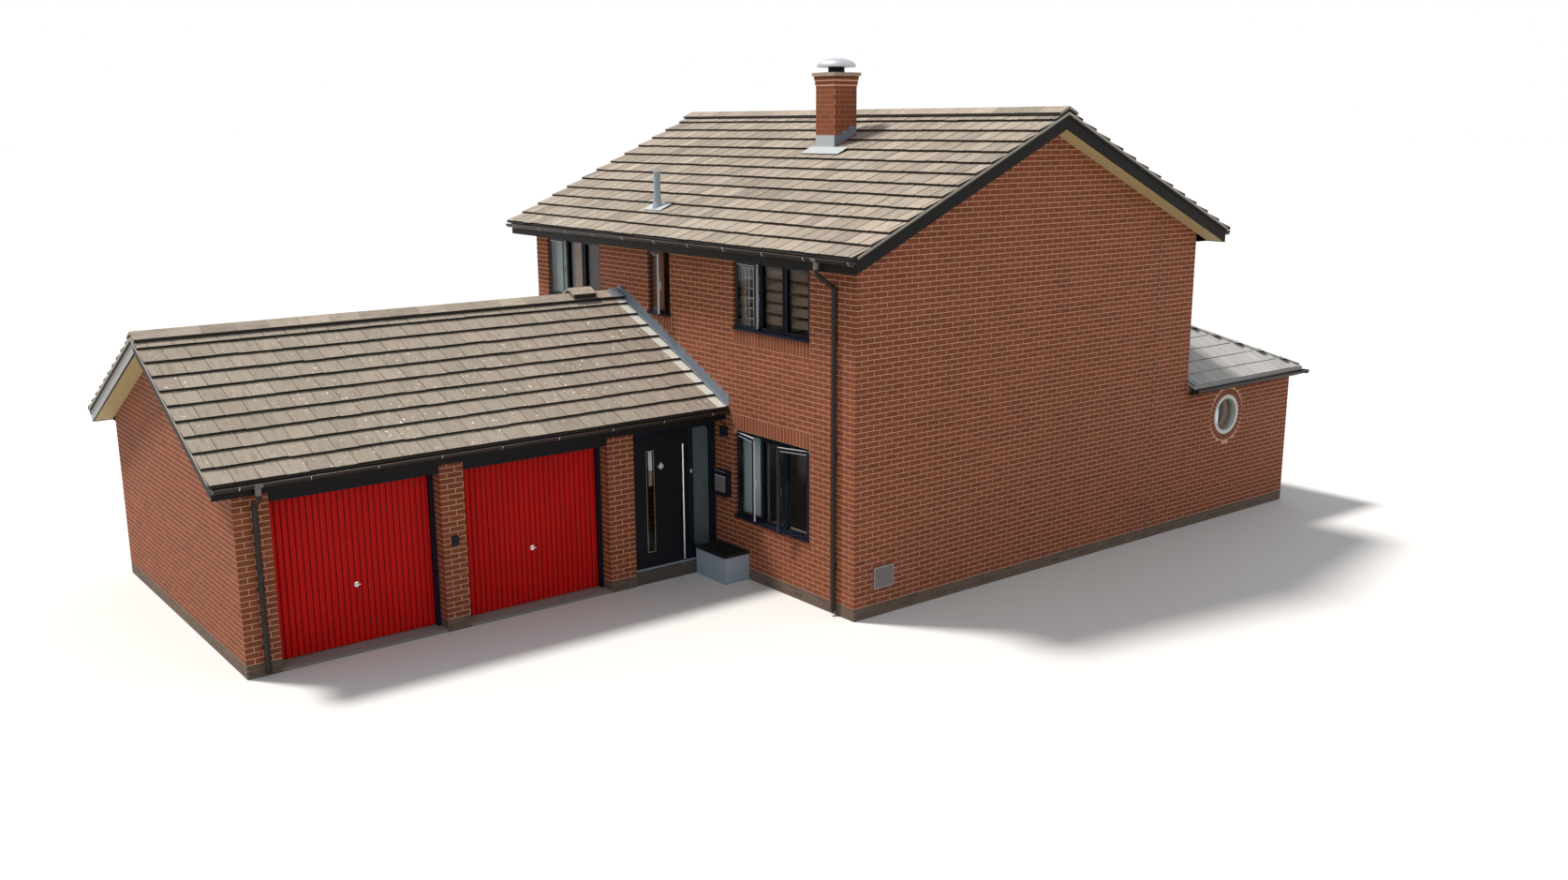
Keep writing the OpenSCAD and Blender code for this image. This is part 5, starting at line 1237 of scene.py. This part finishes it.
class HOUSE_OT_fittings(bpy.types.Operator):
    """Adds the mailbox's face, lip and lock, the lamp's glass, the vent plate's rim, the planter's
    coping and lining and the cowl's collar"""
    bl_idname = "house.fittings"
    bl_label = "Fittings"

    def execute(self, context):
        low, high = local("mailbox")
        x0, x1, y, top = low[0] + 0.012, high[0] - 0.012, low[1], high[2]
        dress("mailbox_face", "grey_plastic",
              slab([x0, y - 0.003, low[2] + 0.07], [x1, y, top - 0.09]))
        dress("mailbox_lip", "bright_trim",
              slab([x0, y - 0.008, top - 0.088], [x1, y, top - 0.080]),
              slab([x0, y - 0.004, top - 0.012], [x1, y, top - 0.008]))
        lock = np.array([((x0 + x1) / 2, y - out, low[2] + 0.15) for out in (0.0, 0.004, 0.007)])
        dress("mailbox_lock", "frame_black", tube(lock + CORNER, np.array([0.012, 0.012, 0.009])),
              slot="frame_black", smooth=True)
        dress("lamp_glass", "frosted", slab([-2.995, -0.083, 2.118], [-2.915, -0.012, 2.131]))
        low, high = local("gable_vent")
        rim = 0.016
        dress("vent_rim", "grey_board",
              border(0, high[0], low[1:] + rim, high[1:] - rim, rim, 0.004))

        # A thin black capping over the planter's coping, and its dark lining
        low, high = local("corner_planter")
        over, wall, skin, deep, bottom = 0.065, 0.051, 0.002, 0.031, 0.05
        rim_z = high[2] - deep
        inside = np.array([low[0] + wall, low[1] + over, high[0] - over, -wall])
        outside = (low[0] - skin, low[1] - skin, high[0] + skin, -0.001)
        dress("planter_coping", "coping_black", ring(outside, inside, rim_z, high[2] + skin))
        hollow = inside + (skin, skin, -skin, -skin)
        dress("planter_lining", "soil_dark", ring(inside, hollow, bottom, rim_z),
              slab([*hollow[:2], bottom], [*hollow[2:], bottom + 0.005]))

        # A dark collar round the cowl's neck
        low, high = local("chimney_cowl")
        x, y = (low[0] + high[0]) / 2, (low[1] + high[1]) / 2
        dress("cowl_collar", "frame_black",
              rod((x, y, low[2] + 0.001), (x, y, low[2] + 0.085), 0.130, 24),
              slot="frame_black", smooth=True)
        return {"FINISHED"}


# Stage: floor, light and camera

def world_light(scene, strength):
    """A pale world that the camera, gloss and glass see as white, and that lights at its own
    strength."""
    world = bpy.data.worlds.new("studio")
    scene.world = world
    world.use_nodes = True
    sky = Nodes(world.node_tree)
    sky.tree.nodes.clear()
    camera, glossy, through = sky.rays()
    seen = sky.node("ShaderNodeBackground", {}, {"Color": (1, 1, 1, 1)})
    lit = sky.node("ShaderNodeBackground", {},
                   {"Color": (0.93, 0.96, 1.0, 1), "Strength": strength})
    pick = sky.node("ShaderNodeMixShader", {},
                    {0: camera.larger(glossy).larger(through), 1: lit, 2: seen})
    sky.node("ShaderNodeOutputWorld", {}, {"Surface": pick})


class HOUSE_OT_stage(bpy.types.Operator):
    """Sets the pale floor, the soft light and the camera"""
    bl_idname = "house.stage"
    bl_label = "Stage"

    def execute(self, context):
        scene, stage = context.scene, context.scene.house_stage
        scene.view_settings.view_transform = "Standard"
        world_light(scene, stage.sky)

        # A floor that looks pale to the eye and throws less light on the house
        size, thick, under = 400.0, 0.5, 0.002
        f = Finish("studio_floor", Roughness=0.9)
        soft = f.noise(0.3, 3.0)
        pale = f.mix(soft, (0.78, 0.775, 0.765, 1), (0.82, 0.815, 0.805, 1))
        camera, glossy, through = f.rays()
        seen = (camera + glossy + through).clamped()
        finish = f.feeds(Base_Color=f.mix(seen, (0.42, 0.40, 0.38, 1), pale))
        corners, faces = blocks([[-size, -size, -thick]], [[size, size, -under]])
        put("studio_floor", corners, faces, finish, body=None)

        lamp = bpy.data.lights.new("key", "SUN")
        lamp.energy = stage.sun
        lamp.angle = math.radians(9.0)
        lamp.color = (1.0, 0.965, 0.91)
        key = bpy.data.objects.new("key", lamp)
        key.rotation_mode = "QUATERNION"
        key.rotation_quaternion = Vector((1.0, 0.75, -2.2)).to_track_quat("-Z", "Y")
        scene.collection.objects.link(key)

        # The camera looks ahead by its yaw and pitch, and its roll turns it about that line
        camera = bpy.data.cameras.new("camera")
        camera.lens = stage.lens
        camera.sensor_width = 36.0
        camera.clip_end = 1000.0
        view = bpy.data.objects.new("camera", camera)
        scene.collection.objects.link(view)
        s, c = math.sin(stage.yaw), math.cos(stage.yaw)
        ps, pc = math.sin(stage.pitch), math.cos(stage.pitch)
        ahead, right = Vector((-s * pc, c * pc, -ps)), Vector((c, s, 0.0))
        up = right.cross(ahead)
        cr, sr = math.cos(stage.roll), math.sin(stage.roll)
        across, above = right * cr + up * sr, up * cr - right * sr
        turn = Matrix((across, above, -ahead)).transposed()
        place = Matrix.Translation(Vector(stage.eye) + Vector(CORNER))
        view.matrix_world = place @ turn.to_4x4()
        scene.camera = view
        return {"FINISHED"}


class HOUSE_PT_panel(bpy.types.Panel):
    """Lists the house's sizes and the steps that dress it"""
    bl_label = "Detached house"
    bl_idname = "HOUSE_PT_panel"
    bl_space_type = "VIEW_3D"
    bl_region_type = "UI"
    bl_category = "House"

    def draw(self, context):
        for name, group in GROUPS.items():
            box = self.layout.box()
            for field in group.__annotations__:
                box.prop(getattr(context.scene, name), field)
        for step in OPERATORS:
            self.layout.operator(step.bl_idname)


OPERATORS = (HOUSE_OT_frame_finishes, HOUSE_OT_brickwork, HOUSE_OT_roof_tiles, HOUSE_OT_leadwork,
             HOUSE_OT_eaves, HOUSE_OT_windows, HOUSE_OT_garage_doors, HOUSE_OT_entrance,
             HOUSE_OT_fittings, HOUSE_OT_stage)


def register():
    for group in GROUPS.values():
        bpy.utils.register_class(group)
    for name, group in GROUPS.items():
        setattr(bpy.types.Scene, name, bpy.props.PointerProperty(type=group))
    for step in (*OPERATORS, HOUSE_PT_panel):
        bpy.utils.register_class(step)


def unregister():
    for step in reversed((*OPERATORS, HOUSE_PT_panel)):
        bpy.utils.unregister_class(step)
    for name in GROUPS:
        delattr(bpy.types.Scene, name)
    for group in GROUPS.values():
        bpy.utils.unregister_class(group)


def main():
    register()
    for step in OPERATORS:
        group, name = step.bl_idname.split(".")
        getattr(getattr(bpy.ops, group), name)()
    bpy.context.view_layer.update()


if __name__ == "__main__":
    main()
